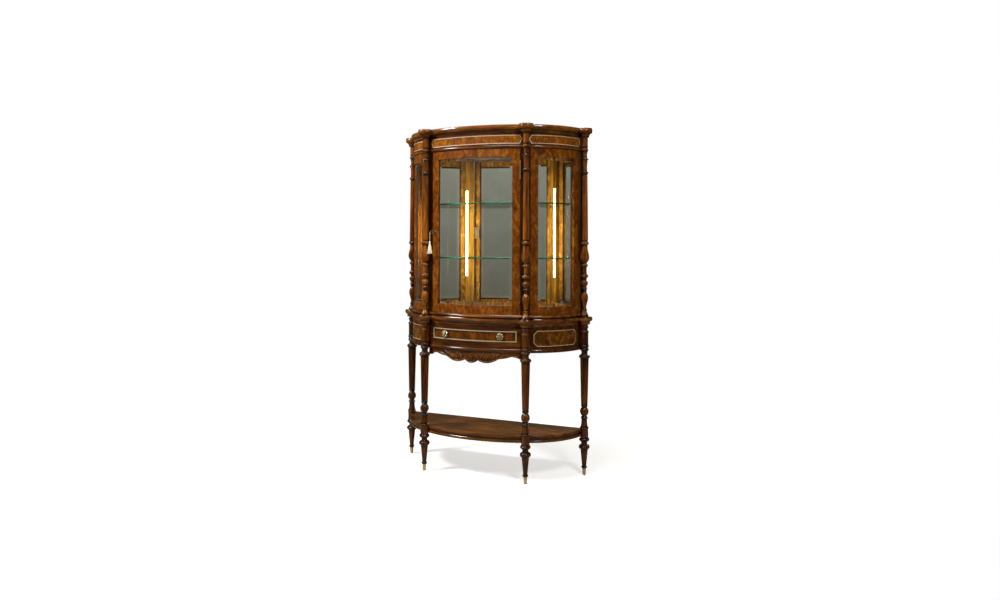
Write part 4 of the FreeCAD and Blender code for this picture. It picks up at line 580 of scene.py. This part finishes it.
class CabinetColours(bpy.types.PropertyGroup):
    """Colours of the finishes that a user would change."""

    glass_tint: bpy.props.FloatVectorProperty(
        name="Glass", description="Tint of the panes", subtype="COLOR", size=4, default=linear("#f8fbf8"))
    shelf_tint: bpy.props.FloatVectorProperty(
        name="Shelf glass", description="Tint of the glass shelves", subtype="COLOR", size=4,
        default=linear("#dcefe4"))
    lamp_cover: bpy.props.FloatVectorProperty(
        name="Lamp cover", description="Milky cover of the lighting strips", subtype="COLOR", size=4,
        default=linear("#fff2d8"))
    lamp_light: bpy.props.FloatVectorProperty(
        name="Lamp light", description="Light of the strips", subtype="COLOR", size=4,
        default=linear("#ffe3b0"))


class CABINET_OT_polish_timber(bpy.types.Operator):
    """Gives every wooden piece of the frame its stain, figure and polish."""

    bl_idname = "cabinet.polish_timber"
    bl_label = "Polish timber"

    def execute(self, context):
        upright, running, flame = (1.0, 1.0, 0.07), (0.07, 0.3, 1.0), (1.0, 1.0, 0.45)
        veneer = {"figure_mm": 42, "gloss": 0.22}
        turned = {"hollow_mm": 9, "unshaded_from": 0.97}
        shelf_low, shelf_high = (corner.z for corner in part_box("undershelf"))
        bead_low, bead_high = (corner.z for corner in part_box("crown_bead"))
        waist, under_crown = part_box("console_top")[1].z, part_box("crown")[0].z
        frieze_foot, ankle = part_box("base_rail_lower")[0].z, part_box("ferrules")[1].z
        # Heights of the painted shade lines under the rings and along the mouldings.
        leg_shade_lines = self.heights(((ankle, (1, 15)), (shelf_low, (-70, -44, -27, -8)),
                                   (shelf_high, (13, 57, 71, 122, 135)),
                                   (frieze_foot, (-47, -24, -14, -6, 11, 29))))
        column_shade_lines = self.heights(((waist, (11, 45, 139, 151, 166, 208, 238, 294, 392, 417)),
                                      (under_crown, (-201, -186, -126, -113, -77, -58))))
        moulding_shade_lines = sorted([bead_low, bead_high] + self.heights(((waist, (0,)), (under_crown, (2,)))))
        shelf_shade_lines = self.heights(((shelf_high, (-15,)),))
        # Stains run from the dark of the growth rings through the light wood to the middle tone.
        for nodes, name, stains, grain, settings in (
                (STAND_TIMBER, "french_polished_walnut_stand", ("#331907", "#7d4916", "#572d0b"), running,
                 {}),
                (DARK_TIMBER, "dark_stained_walnut", DARK_STAIN, running, {"figure_mm": 50, "gloss": 0.3}),
                (["posts_back"], "waxed_walnut_back_posts", ("#3a2006", "#7e521a", "#5a350e"), upright,
                 {"gloss": 0.3, "behind": DARK_STAIN}),
                (["crown_frieze_panels"], "walnut_crossbanding_frieze", ("#351a06", "#7d4613", "#552b08"),
                 flame, veneer),
                (PANEL_GROUND, "walnut_crossbanding_stand", ("#2a1203", "#6b3a10", "#451f06"), flame, veneer),
                (["drawer_front"], "flame_mahogany_veneer_drawer", ("#391b03", "#8d5114", "#613206"), flame,
                 {**veneer, "hollow_mm": 45}),
                (["door_rails"], "flame_mahogany_veneer_rails", ("#4c2405", "#a26018", "#783e0a"), flame,
                 {**veneer, "behind": HONEY}),
                (UPRIGHT_VENEER, "flame_mahogany_veneer_upright", ("#482303", "#9d5d17", "#743c08"),
                 (0.8, 0.8, 0.5), {**veneer, "behind": HONEY}),
                # The front posts' dark outside stain is painted shade: the strip between column and door
                # stile lies in deep shade.
                (POSTS, "dark_walnut_posts", ("#1a0a03", "#583413", "#33190a"), upright,
                 {"gloss": 0.3, "behind": HONEY}),
                (CASE_MOULDINGS, "french_polished_walnut_mouldings", ("#341807", "#a0621d", "#6e3c0f"),
                 running, {"hollow_mm": 30, "shade_lines": moulding_shade_lines}),
                (["undershelf"], "french_polished_walnut_undershelf", ("#381b06", "#8b5318", "#61340b"),
                 running, {"hollow_mm": 5, "unshaded_from": 0.6, "shade_lines": shelf_shade_lines, "core_mm": 0.8,
                           "shade_mm": 1.6}),
                # The columns' stain is lighter than the legs', though both are the same walnut: painted
                # light, for the stronger light on the case above the stand.
                (LEGS, "french_polished_walnut_legs", ("#1e0c03", "#7b4414", "#4a2408"), upright,
                 {**turned, "shade_lines": leg_shade_lines}),
                (COLUMNS, "french_polished_walnut_columns", ("#3c1b04", "#b26d1f", "#82460f"), upright,
                 {**turned, "shade_lines": column_shade_lines})):
            dress(nodes, polished_timber(name, stains, grain, **settings))
        dress(DRAWER_LINING, plain_stuff("planed_oak_lining", "#8a6a42", "#b3915f", 9, 0.6))
        dress(["cable_grommet"], plain_stuff("black_rubber", "#0c0c0c", "#191919", 3, 0.7))
        return {"FINISHED"}

    def heights(self, marks):
        """Heights in metres of the marks, in millimetres, above each level."""
        return [level + mark * MM for level, above in marks for mark in above]


class CABINET_OT_fit_brassware(bpy.types.Operator):
    """Gives the ferrules, hinges, lock, key, pins and drawer bead their aged brass."""

    bl_idname = "cabinet.fit_brassware"
    bl_label = "Fit brassware"

    def execute(self, context):
        dress(BRASSWARE, aged_brass("aged_cast_brass", "#cdb98c", "#7d6237", 0.3))
        dress(["drawer_bead"], aged_brass("bright_drawn_brass", "#fff6da", "#d9c794", 0.52))
        dress(["ferrules", "lock_case"], aged_brass("lacquered_spun_brass", "#ffe9b4", "#e6c57c", 0.5))
        return {"FINISHED"}


class CABINET_OT_glaze_case(bpy.types.Operator):
    """Makes the bevelled panes and the polished shelf edges, and silvers the mirror."""

    bl_idname = "cabinet.glaze_case"
    bl_label = "Glaze the case"

    def execute(self, context):
        # Thin panes give back little of the room, but their ground bevels catch the light from above.
        glass = clear_glass("thin_float_glass", colours().glass_tint, ior=1.25)
        bevel = clear_glass("ground_glass_bevel", colours().glass_tint, clear=0.97)
        for node, bay, body in (("door_glass", "centre", "door"), ("side_glass_left", "left", "cabinet"),
                                ("side_glass_right", "right", "cabinet")):
            self.bevelled_pane(node, bay, body, glass, bevel)
        shelves = ["glass_shelf_upper", "glass_shelf_lower"]
        dress(shelves, clear_glass("green_float_glass", colours().shelf_tint))
        # Seen end on, float glass is a deep bottle green.
        green = plain_stuff("polished_green_glass_edge", "#062019", "#136b49", 90, 0.08)
        for node in shelves:
            self.polished_edge(node, green)
        dress(["mirror"], silvered_mirror())
        return {"FINISHED"}

    def polished_edge(self, node, green):
        """Thin green face along the front and sides of a shelf."""
        deselect()
        edge = bpy.data.objects.new("edge_of_" + node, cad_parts[node].data.copy())
        bpy.context.scene.collection.objects.link(edge)
        edge.select_set(True)
        bpy.context.view_layer.objects.active = edge
        bpy.ops.object.mode_set(mode="EDIT")
        bpy.ops.mesh.select_all(action="SELECT")
        bpy.ops.mesh.remove_doubles(threshold=1e-6)
        pick_faces(edge, lambda normal: abs(normal.z) > 0.5 or normal.y > 0.5)
        bpy.ops.mesh.delete(type="FACE")
        leave_edit(edge)
        apply_modifier(edge, "SOLIDIFY", thickness=0.5 * MM, offset=1.0)
        finish_piece(edge, green, "cabinet")

    def bevelled_pane(self, node, bay, body, glass, bevel):
        """Pane bowed to its bay, thinner towards its edges."""
        span = bay_extent(node, bay)
        centre_x, centre_y, radius = BAYS[bay][:3]
        thick = span.far - span.near
        half = (span.end - span.start) * (radius - span.near) / 2
        pane = start_block("bevelled_" + node, (2 * half, thick, span.high - span.low),
                           (0, thick / 2, (span.low + span.high) / 2))
        pick_faces(pane, lambda normal: normal.y < -0.9)
        bpy.ops.mesh.inset(thickness=PANE_REBATE + sizes().pane_bevel, depth=0)
        pick_points(pane, lambda p: p.y < MM and (abs(p.x) > half - MM or p.z < span.low + MM
                                                  or p.z > span.high - MM))
        bpy.ops.transform.translate(value=(0, sizes().pane_edge, 0))
        slice_across(half, sizes().curve_step)
        bend_on_bay(pane, bay, (span.start + span.end) / 2, span.near, 8)
        finish_piece(pane, glass, body, [node])
        pane.data.materials.append(bevel)
        for face in pane.data.polygons:
            corners = [pane.data.vertices[i].co for i in face.vertices]
            depths = [math.hypot(p.x - centre_x, p.y - centre_y) for p in corners]
            outward = Vector((face.center.x - centre_x, face.center.y - centre_y, 0)).normalized()
            sloped = max(depths) - min(depths) > 0.3 * sizes().pane_edge
            face.material_index = int(sloped and face.normal.dot(outward) > 0.9)


class CABINET_OT_inlay_stringing(bpy.types.Operator):
    """Lays the pale stringing lines on the crown frieze and the side panels of the stand."""

    bl_idname = "cabinet.inlay_stringing"
    bl_label = "Inlay stringing"

    def execute(self, context):
        boxwood = plain_stuff("boxwood_stringing", "#c9ab84", "#ead7b8", 5, 0.3)
        flame = (0.8, 0.8, 0.6)
        frieze = polished_timber("flame_mahogany_field_frieze", ("#562a05", "#ae6d1f", "#83470c"), flame,
                                 34, 0.22)
        stand = polished_timber("flame_mahogany_field_stand", ("#391b03", "#95601a", "#653809"), flame,
                                60, 0.22)
        # Angles in degrees, then heights, setback, length of the pointed ends and cut of the corners in mm.
        for place, bay, angles, lengths, field in (
                ("crown", "centre", (-20.6, 20.6), (1799, 1845, 26, 14, 0), frieze),
                ("crown", "left", (24.2, 76.0), (1799, 1845, 26, 14, 0), frieze),
                ("crown", "right", (24.2, 76.0), (1799, 1845, 26, 14, 0), frieze),
                ("base", "left", (26.4, 72.0), (719, 803, 24, 0, 20), stand),
                ("base", "right", (26.4, 72.0), (719, 803, 24, 0, 20), stand)):
            outline = (bay, *map(math.radians, angles), *(length * MM for length in lengths))
            self.inlay(f"{place}_stringing_{bay}", outline, boxwood)
            self.inlay(f"{place}_field_{bay}", outline, field, field=True)
        return {"FINISHED"}

    def inlay(self, name, outline, wood, field=False):
        """One closed line with pointed ends or cut corners, or the veneer field inside it."""
        bay, start, end, low, high, setback, point, cut = outline
        radius = BAYS[bay][2] - setback
        half = (end - start) * radius / 2
        line = upright_sheet(name, 2 * half, high - low)
        if cut:
            bpy.ops.mesh.bevel(offset=cut, affect="VERTICES", segments=1)
        else:
            bpy.ops.mesh.subdivide(number_cuts=1)
            for side in (-1, 1):
                pick_points(line, lambda p: side * p.x > half - MM and abs(p.z) < MM)
                bpy.ops.transform.translate(value=(side * point, 0, 0))
            bpy.ops.mesh.select_all(action="SELECT")
            bpy.ops.mesh.dissolve_faces()
        bpy.ops.mesh.select_all(action="SELECT")
        bpy.ops.mesh.inset(thickness=sizes().string_width, depth=0)
        if field:
            bpy.ops.mesh.select_all(action="INVERT")
        bpy.ops.mesh.delete(type="FACE")
        slice_across(half + point, sizes().curve_step)
        bpy.ops.mesh.select_all(action="SELECT")
        bpy.ops.transform.translate(value=(0, 0, (low + high) / 2))
        bend_on_bay(line, bay, (start + end) / 2, setback)
        apply_modifier(line, "SOLIDIFY", thickness=sizes().string_proud * (0.5 if field else 1.0), offset=0.0)
        finish_piece(line, wood, "cabinet")


class CABINET_OT_carve_apron(bpy.types.Operator):
    """Carves the scrolls, leaf ribs and moulded edge of the apron."""

    bl_idname = "cabinet.carve_apron"
    bl_label = "Carve the apron"

    def execute(self, context):
        # Outline, and the shell in its middle: place along the front, height and radius, in mm.
        edge = [(262, 657, 2.0), (246, 664, 3.2), (222, 668, 4.0), (186, 664, 4.2), (152, 653, 4.2),
                (122, 638, 4.2), (92, 630, 4.2), (62, 634, 4.2), (41, 645, 4.4), (31, 656, 4.8),
                (33, 669, 4.6), (46, 672, 4.0), (52, 663, 3.4), (44, 657, 2.8), (40, 662, 2.2)]
        shell = [(-28, 650, 2.6), (-20, 634, 3.8), (0, 625, 4.2), (20, 634, 3.8), (28, 650, 2.6)]
        rib_count, first_rib, rib_spacing, rib_top = 7, 56, 14.5, 683
        paths = []
        for side in (-1, 1):
            paths.append([(side * x, 0, z, r) for x, z, r in edge])
            for number in range(rib_count):
                foot = first_rib + rib_spacing * number
                low = 653 - 19 * math.sin(math.pi * min(1.0, (foot - 36) / 114))
                paths.append([(side * foot, 1.0, low, 1.6), (side * (foot + 1), -1.6, low + 8, 4.6),
                              (side * (foot + 8), -1.8, (low + rib_top + 9) / 2, 5.2),
                              (side * (foot + 24), 0.6, rib_top, 2.2)])
        paths.append([(x, 0, z, r) for x, z, r in shell])
        for number in range(-1, 2):
            paths.append([(4 * number, 0.4, 635, 1.6), (8 * number, -1.8, 652, 5.0),
                          (12.5 * number, 0.4, 679 - 3 * abs(number), 3.4)])
        paths = [[(x * MM, y * MM, z * MM, r * MM) for x, y, z, r in path] for path in paths]
        carving = ribs_from_paths("apron_carving", paths)
        wrap_on_bay(carving, "centre", 0, 26 * MM)
        # The carving takes a lighter stain than the apron behind it: rubbed wear on the ribs, and a painted
        # highlight.
        rubbed = polished_timber("carved_walnut_rubbed_bright", ("#2e1608", "#a1672b", "#6b3c15"),
                                 (1.0, 1.0, 1.0), 30, 0.24)
        finish_piece(carving, rubbed, "cabinet")
        return {"FINISHED"}


class CABINET_OT_carve_leaves(bpy.types.Operator):
    """Carves the leaves round the columns' vases and the legs' bulbs, and turns the rings of the feet."""

    bl_idname = "cabinet.carve_leaves"
    bl_label = "Carve the leaves"

    def execute(self, context):
        # Each leaf follows its turning: height over the console top or the undershelf, and radius, in mm.
        vase = ((299, 13.0), (307, 18.2), (320, 21.6), (334, 21.8), (350, 19.2), (366, 17.0))
        lower_vase = ((134, 9.6), (126, 13.8), (113, 17.0), (99, 17.0), (82, 13.4), (64, 10.6))
        bulb = ((76, 14.6), (84, 18.8), (97, 21.8), (110, 19.2), (118, 15.6))
        console_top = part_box("console_top")[1].z
        undershelf_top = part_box("undershelf")[1].z
        self.leaves("column_leaves", (vase, lower_vase), console_top, "french_polished_walnut_columns")
        self.leaves("leg_leaves", (bulb,), undershelf_top, "french_polished_walnut_legs")
        # Radius, and height over the ferrule, in mm.
        section = ((10.5, 2.0), (14.2, 3.4), (15.9, 5.8), (16.2, 7.5), (15.9, 9.2), (14.2, 11.6),
                   (10.5, 13.0))
        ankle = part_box("ferrules")[1].z
        ring = turn("foot_rings", [(radius * MM, ankle + height * MM) for radius, height in section], 28)
        self.on_all_corners(ring, "french_polished_walnut_legs")
        return {"FINISHED"}

    def leaves(self, name, turnings, level, timber):
        """Leaves round one turned piece, then copies of them on all four."""
        paths = []
        for turning in turnings:
            for number in range(sizes().leaves):
                angle = math.tau * number / sizes().leaves
                last = len(turning) - 1
                paths.append([(reach * math.cos(angle) * MM, reach * math.sin(angle) * MM,
                               level + height * MM, (0.6 if place in (0, last) else 0.17 * reach) * MM)
                              for place, (height, reach) in enumerate(turning)])
        self.on_all_corners(ribs_from_paths(name, paths, 3), timber)

    def on_all_corners(self, piece, timber):
        """Copies a piece made on the upright axis to the four corners, as one piece of the same name."""
        name = piece.name
        sets = [copy_piece(piece, Matrix.Translation((x, y, 0))) for x, y in CORNERS.values()]
        bpy.data.objects.remove(piece)
        finish_piece(join_as(name, sets), bpy.data.materials[timber], "cabinet")


class CABINET_OT_close_gaps(bpy.types.Operator):
    """Fits the door's dust strip, the apron's glue blocks and the fillets behind the back columns."""

    bl_idname = "cabinet.close_gaps"
    bl_label = "Close the gaps"

    def execute(self, context):
        stain = bpy.data.materials["dark_stained_walnut"]
        self.dust_strip(stain)
        self.glue_blocks(stain)
        self.back_fillets(stain)
        return {"FINISHED"}

    def dust_strip(self, stain):
        """Strip on the hinge edge of the door, over the gap beside the post."""
        door = bay_extent("door_stiles", "centre")
        setback = door.far + 0.6 * MM
        cover, gap = 6 * MM, 2.1 * MM
        strip = upright_sheet("door_dust_strip", cover + gap, door.high - door.low - 4 * MM)
        bpy.ops.mesh.subdivide(number_cuts=3)
        bpy.ops.transform.translate(value=(0, 0, (door.low + door.high) / 2))
        bend_on_bay(strip, "centre", door.end + (gap - cover) / 2 / (BAYS["centre"][2] - setback), setback)
        apply_modifier(strip, "SOLIDIFY", thickness=1.0 * MM, offset=0.0)
        finish_piece(strip, stain, "door")

    def back_fillets(self, stain):
        """Fillets behind the back columns."""
        low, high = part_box("posts_back")
        width, depth = 10 * MM, 5 * MM
        middle = high.x + 0.2 * MM + width / 2
        fillet = start_block("back_fillet", (width, depth, high.z - low.z),
                             (middle, high.y - depth / 2, (low.z + high.z) / 2))
        bpy.ops.mesh.bevel(offset=1.5 * MM, segments=2)
        leave_edit(fillet)
        pair = join_as("back_fillets", [fillet, copy_piece(fillet, Matrix.Translation((-2 * middle, 0, 0)))])
        finish_piece(pair, stain, "cabinet")


    def glue_blocks(self, stain):
        """Blocks that carry the apron's ends on, behind the front legs."""
        apron = bay_extent("apron", "centre")
        leg_x, leg_y = CORNERS["front_right"]
        centre_y, radius = BAYS["centre"][1:3]
        last = math.atan2(leg_x, centre_y - leg_y)
        half = (last - apron.end) * (radius - apron.near) / 2
        setback = (apron.near + apron.far) / 2 + 4 * MM
        blocks = []
        for side in (-1, 1):
            block = start_block("apron_glue_block", (2 * half, apron.far - apron.near - 2 * MM, 86 * MM),
                                (0, 0, apron.high + 6 * MM))
            bpy.ops.mesh.bevel(offset=1.5 * MM, segments=2)
            leave_edit(block)
            wrap_on_bay(block, "centre", side * (apron.end + last) / 2, setback)
            blocks.append(block)
        finish_piece(join_as("apron_glue_blocks", blocks), stain, "cabinet")


class CABINET_OT_mount_knobs(bpy.types.Operator):
    """Makes the two rosette knobs of the drawer."""

    bl_idname = "cabinet.mount_knobs"
    bl_label = "Mount the knobs"

    def execute(self, context):
        boss = turn("knob_boss", [(9, 0), (10, 1.5), (7, 4), (6.5, 6.5), (8, 8), (18.5, 8.8), (19.5, 10),
                                  (18.5, 11.4), (13, 13), (8.4, 15), (8.6, 18.4), (7.2, 20.6), (4, 21.8),
                                  (0.6, 22)], 48)
        pieces = [boss]
        deselect()
        bpy.ops.mesh.primitive_uv_sphere_add(segments=16, ring_count=10, radius=1)
        petal = start_piece("knob_petal", (5.6, 4.2, 4.4))
        pick_points(petal, lambda p: p.x > 2.5)
        bpy.ops.transform.resize(value=(1, 1.25, 1.2), center_override=(2.5, 0, 0))
        pick_points(petal, lambda p: p.z > 2.8 and abs(p.y) < 1)
        bpy.ops.transform.translate(value=(0, 0, -0.9))
        leave_edit(petal, 60)
        for number in range(sizes().petals):
            turned = Matrix.Rotation(math.tau * number / sizes().petals, 4, "Z")
            pieces.append(copy_piece(petal, turned @ Matrix.Translation((14.4, 0, 13.4))))
            between = Matrix.Rotation(math.tau * (number + 0.5) / sizes().petals, 4, "Z")
            small = Matrix.Translation((8.6, 0, 17.2)) @ Matrix.Scale(0.45, 4)
            pieces.append(copy_piece(petal, between @ small))
        bpy.data.objects.remove(petal)
        rosette = join_as("knob_rosette", pieces)
        knobs = []
        for side in (-1, 1):
            angle = KNOB_ANGLE * side
            outward = Matrix.Rotation(angle, 4, "Z") @ Matrix.Rotation(math.pi / 2, 4, "X")
            place = Matrix.Translation(on_bay("centre", angle, KNOB_SETBACK, KNOB_HEIGHT))
            knobs.append(copy_piece(rosette, place @ outward @ Matrix.Scale(MM, 4)))
        bpy.data.objects.remove(rosette)
        pair = join_as("rosette_knobs", knobs)
        brass = aged_brass("rubbed_cast_brass", "#e2d6b0", "#a08a58", 0.26)
        finish_piece(pair, brass, "drawer", ["drawer_knobs"])
        return {"FINISHED"}


class CABINET_OT_hang_tassel(bpy.types.Operator):
    """Hangs the ivory tassel on its cord from the key."""

    bl_idname = "cabinet.hang_tassel"
    bl_label = "Hang the tassel"

    def execute(self, context):
        ivory = thread("ivory_rayon_thread", "#fff8ec", "#d3c4a2", 1.6)
        head, skirt = self.tassel()
        finish_piece(head, ivory, "tassel")
        finish_piece(skirt, ivory, "tassel", ["tassel"])
        route = [(x, y, z, 1.0) for x, y, z in TASSEL_CORD]
        cord = smooth_lines("ivory_tassel_cord", [route], CORD_DIAMETER / 2, 4, 12)
        finish_piece(cord, ivory, "tassel", ["tassel_cord"])
        return {"FINISHED"}

    def tassel(self):
        """Knotted head, bound neck and a skirt of separate strands, hung below the cord."""
        x, y, top = TASSEL_CORD[-1]
        head = turn("tassel_head", [(1.6, 0.4), (3.2, -0.4), (4.6, -2.2), (5.0, -4.6), (4.8, -6.6),
                                    (3.7, -8.4), (3.5, -9.2), (4.3, -9.8), (4.3, -11.2), (3.5, -11.8),
                                    (4.4, -12.4), (4.4, -13.6), (3.6, -14.4), (4.6, -16), (5.6, -20)], 40)
        random.seed(7)
        count = sizes().tassel_strands
        paths = []
        for ring, share in ((0, 1.0), (1, 0.62)):
            for number in range(count - 8 * ring):
                angle = math.tau * (number + 0.5 * ring) / (count - 8 * ring)
                spread = share * random.uniform(11.6, 13.0)
                sway = angle + random.uniform(-0.08, 0.08)
                reach = random.uniform(67.0, 69.4)
                strand = [(share * r * math.cos(a), share * r * math.sin(a), z, thick) for r, a, z, thick in (
                    (3.2, angle, -13, 0.5), (5.6, angle, -21, 0.9), (8.6, (angle + sway) / 2, -42, 1.15))]
                strand.append((spread * math.cos(sway), spread * math.sin(sway), -reach, 1.0))
                paths.append(strand)
        skirt = ribs_from_paths("tassel_skirt", paths, 3)
        for piece in (head, skirt):
            piece.data.transform(Matrix.Translation((x, y, top)) @ Matrix.Scale(MM, 4))
        return head, skirt


class CABINET_OT_light_case(bpy.types.Operator):
    """Lights the strips behind the front posts."""

    bl_idname = "cabinet.light_case"
    bl_label = "Light the case"

    def execute(self, context):
        dress(["led_strips"], glowing_strip())
        low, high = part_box("led_strips")
        level = (low.z + high.z) / 2
        before_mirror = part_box("mirror")[0].y - 8 * MM
        # Warm light that the mirror throws back onto the posts and the left strip throws on its side frame.
        for name, x, y, aim, share in (("strip_bounce", -0.29, before_mirror, (0, -1, 0), 1.0),
                                       ("strip_bounce", 0.29, before_mirror, (0, -1, 0), 1.0),
                                       ("strip_wash", -0.40, 0.11, (-0.08, 0.02, 0), 0.22)):
            light = area_lamp(name, (x, y, level), aim, share * sizes().bounce_power, shape="RECTANGLE",
                              size=30 * MM, size_y=0.7 * (high.z - low.z), color=colours().lamp_light[:3])
            light.visible_camera = False
            light.visible_glossy = False
            light.visible_transmission = False
        return {"FINISHED"}


class CABINET_OT_set_stage(bpy.types.Operator):
    """Sets the camera, the pale floor and the soft studio light."""

    bl_idname = "cabinet.set_stage"
    bl_label = "Set the stage"

    def execute(self, context):
        scene = context.scene
        lens = bpy.data.cameras.new("photo_camera")
        lens.sensor_width = 36
        lens.lens = 27.52
        lens.shift_x = 0.0054
        lens.shift_y = -0.0602
        camera = bpy.data.objects.new("photo_camera", lens)
        scene.collection.objects.link(camera)
        turned = Matrix.Translation(CAMERA_PLACE)
        for degrees, axis in CAMERA_TURNS:
            turned = turned @ Matrix.Rotation(math.radians(degrees), 4, axis)
        camera.matrix_world = turned
        scene.camera = camera
        scene.view_settings.view_transform = "Standard"
        deselect()
        bpy.ops.mesh.primitive_circle_add(vertices=96, radius=2.6, fill_type="NGON")
        floor = start_piece("studio_floor")
        bpy.ops.mesh.inset(thickness=0.6, depth=0)
        leave_edit(floor)
        floor.data.materials.append(self.floor_paint())
        for name, place, size, power in (("key_light", (-2.4, -1.9, 3.4), 0.8, 132),
                                         ("fill_light", (2.4, -2.3, 3.5), 0.9, 66),
                                         ("top_light", (0.1, -0.9, 3.9), 1.4, 50),
                                         ("back_light", (0.4, 3.4, 2.4), 1.6, 45)):
            area_lamp(name, place, Vector(CASE_MIDDLE) - Vector(place), power, shape="DISK", size=size)
        self.surroundings(scene)
        return {"FINISHED"}

    def floor_paint(self):
        """Matt white floor that fades into the backdrop away from the cabinet."""
        material = plain_stuff("matt_white_floor_paint", "#f1efeb", "#f6f5f2", 40, 0.8)
        tree = material.node_tree
        output = next(node for node in tree.nodes if node.type == "OUTPUT_MATERIAL")
        paint = output.inputs["Surface"].links[0].from_socket
        place = add(tree, "ShaderNodeTexCoord").outputs["Object"]
        away = add(tree, "ShaderNodeVectorMath", {0: place}, operation="LENGTH").outputs["Value"]
        gone = remap(tree, away, 0.7, 2.5, interpolation_type="SMOOTHSTEP")
        clear = add(tree, "ShaderNodeBsdfTransparent").outputs[0]
        seen = add(tree, "ShaderNodeLightPath").outputs["Is Camera Ray"]
        glow = add(tree, "ShaderNodeEmission", {"Strength": maths(tree, "MULTIPLY", seen, 0.5)}).outputs[0]
        lifted = add(tree, "ShaderNodeAddShader", {0: paint, 1: glow}).outputs[0]
        # The cabinet itself gets the little light that a carpet throws back.
        carpet = add(tree, "ShaderNodeBsdfDiffuse", {"Color": linear("#a39a8c")}).outputs[0]
        lit = add(tree, "ShaderNodeMixShader", {0: seen, 1: carpet, 2: lifted}).outputs[0]
        faded = add(tree, "ShaderNodeMixShader", {0: gone, 1: lit, 2: clear}).outputs[0]
        tree.links.new(faded, output.inputs["Surface"])
        return material

    def surroundings(self, scene):
        """White backdrop to the eye; a dim room all round, with a lighter window, for mirror and polish."""
        world = bpy.data.worlds.new("studio_surroundings")
        world.use_nodes = True
        scene.world = world
        tree = world.node_tree
        tree.nodes.clear()
        away = add(tree, "ShaderNodeTexCoord").outputs["Generated"]
        window = add(tree, "ShaderNodeVectorMath", {0: away, 1: (-0.393, -0.919, 0.0)},
                     operation="DOT_PRODUCT").outputs["Value"]
        height = remap(tree, axis_of(tree, away, "Z"), -0.12, 0.16)
        room = ramp(tree, height, ((0.0, "#5a564a"), (1.0, "#b4b7b4")))
        tone = blend(tree, remap(tree, window, 0.82, 0.96), linear("#57503f"), room)
        seen = add(tree, "ShaderNodeLightPath").outputs["Is Camera Ray"]
        shown = blend(tree, seen, tone, linear(PLAIN_WHITE))
        sky = add(tree, "ShaderNodeBackground", {"Color": shown, "Strength": 1.0}).outputs[0]
        output = add(tree, "ShaderNodeOutputWorld", {"Surface": sky})
        output.is_active_output = True


class CABINET_PT_workshop(bpy.types.Panel):
    """Lists the steps of the finish."""

    bl_idname = "CABINET_PT_workshop"
    bl_label = "Display cabinet"
    bl_space_type = "VIEW_3D"
    bl_region_type = "UI"
    bl_category = "Cabinet"

    def draw(self, context):
        for operator in OPERATORS:
            self.layout.operator(operator.bl_idname)
        for group in (context.scene.cabinet_sizes, context.scene.cabinet_colours):
            for name in group.__annotations__:
                self.layout.prop(group, name)


OPERATORS = (
    CABINET_OT_set_stage,
    CABINET_OT_hang_tassel,
    CABINET_OT_polish_timber,
    CABINET_OT_fit_brassware,
    CABINET_OT_glaze_case,
    CABINET_OT_inlay_stringing,
    CABINET_OT_carve_apron,
    CABINET_OT_carve_leaves,
    CABINET_OT_close_gaps,
    CABINET_OT_mount_knobs,
    CABINET_OT_light_case,
)
CLASSES = (CabinetSizes, CabinetColours, *OPERATORS, CABINET_PT_workshop)


def register():
    for cls in CLASSES:
        bpy.utils.register_class(cls)
    bpy.types.Scene.cabinet_sizes = bpy.props.PointerProperty(type=CabinetSizes)
    bpy.types.Scene.cabinet_colours = bpy.props.PointerProperty(type=CabinetColours)


def unregister():
    del bpy.types.Scene.cabinet_colours
    del bpy.types.Scene.cabinet_sizes
    for cls in reversed(CLASSES):
        bpy.utils.unregister_class(cls)


def main():
    register()
    bpy.ops.cabinet.set_stage()
    bpy.ops.cabinet.hang_tassel()
    bpy.ops.cabinet.polish_timber()
    bpy.ops.cabinet.fit_brassware()
    bpy.ops.cabinet.glaze_case()
    bpy.ops.cabinet.inlay_stringing()
    bpy.ops.cabinet.carve_apron()
    bpy.ops.cabinet.carve_leaves()
    bpy.ops.cabinet.close_gaps()
    bpy.ops.cabinet.mount_knobs()
    bpy.ops.cabinet.light_case()
    deselect()


if __name__ == "__main__":
    main()
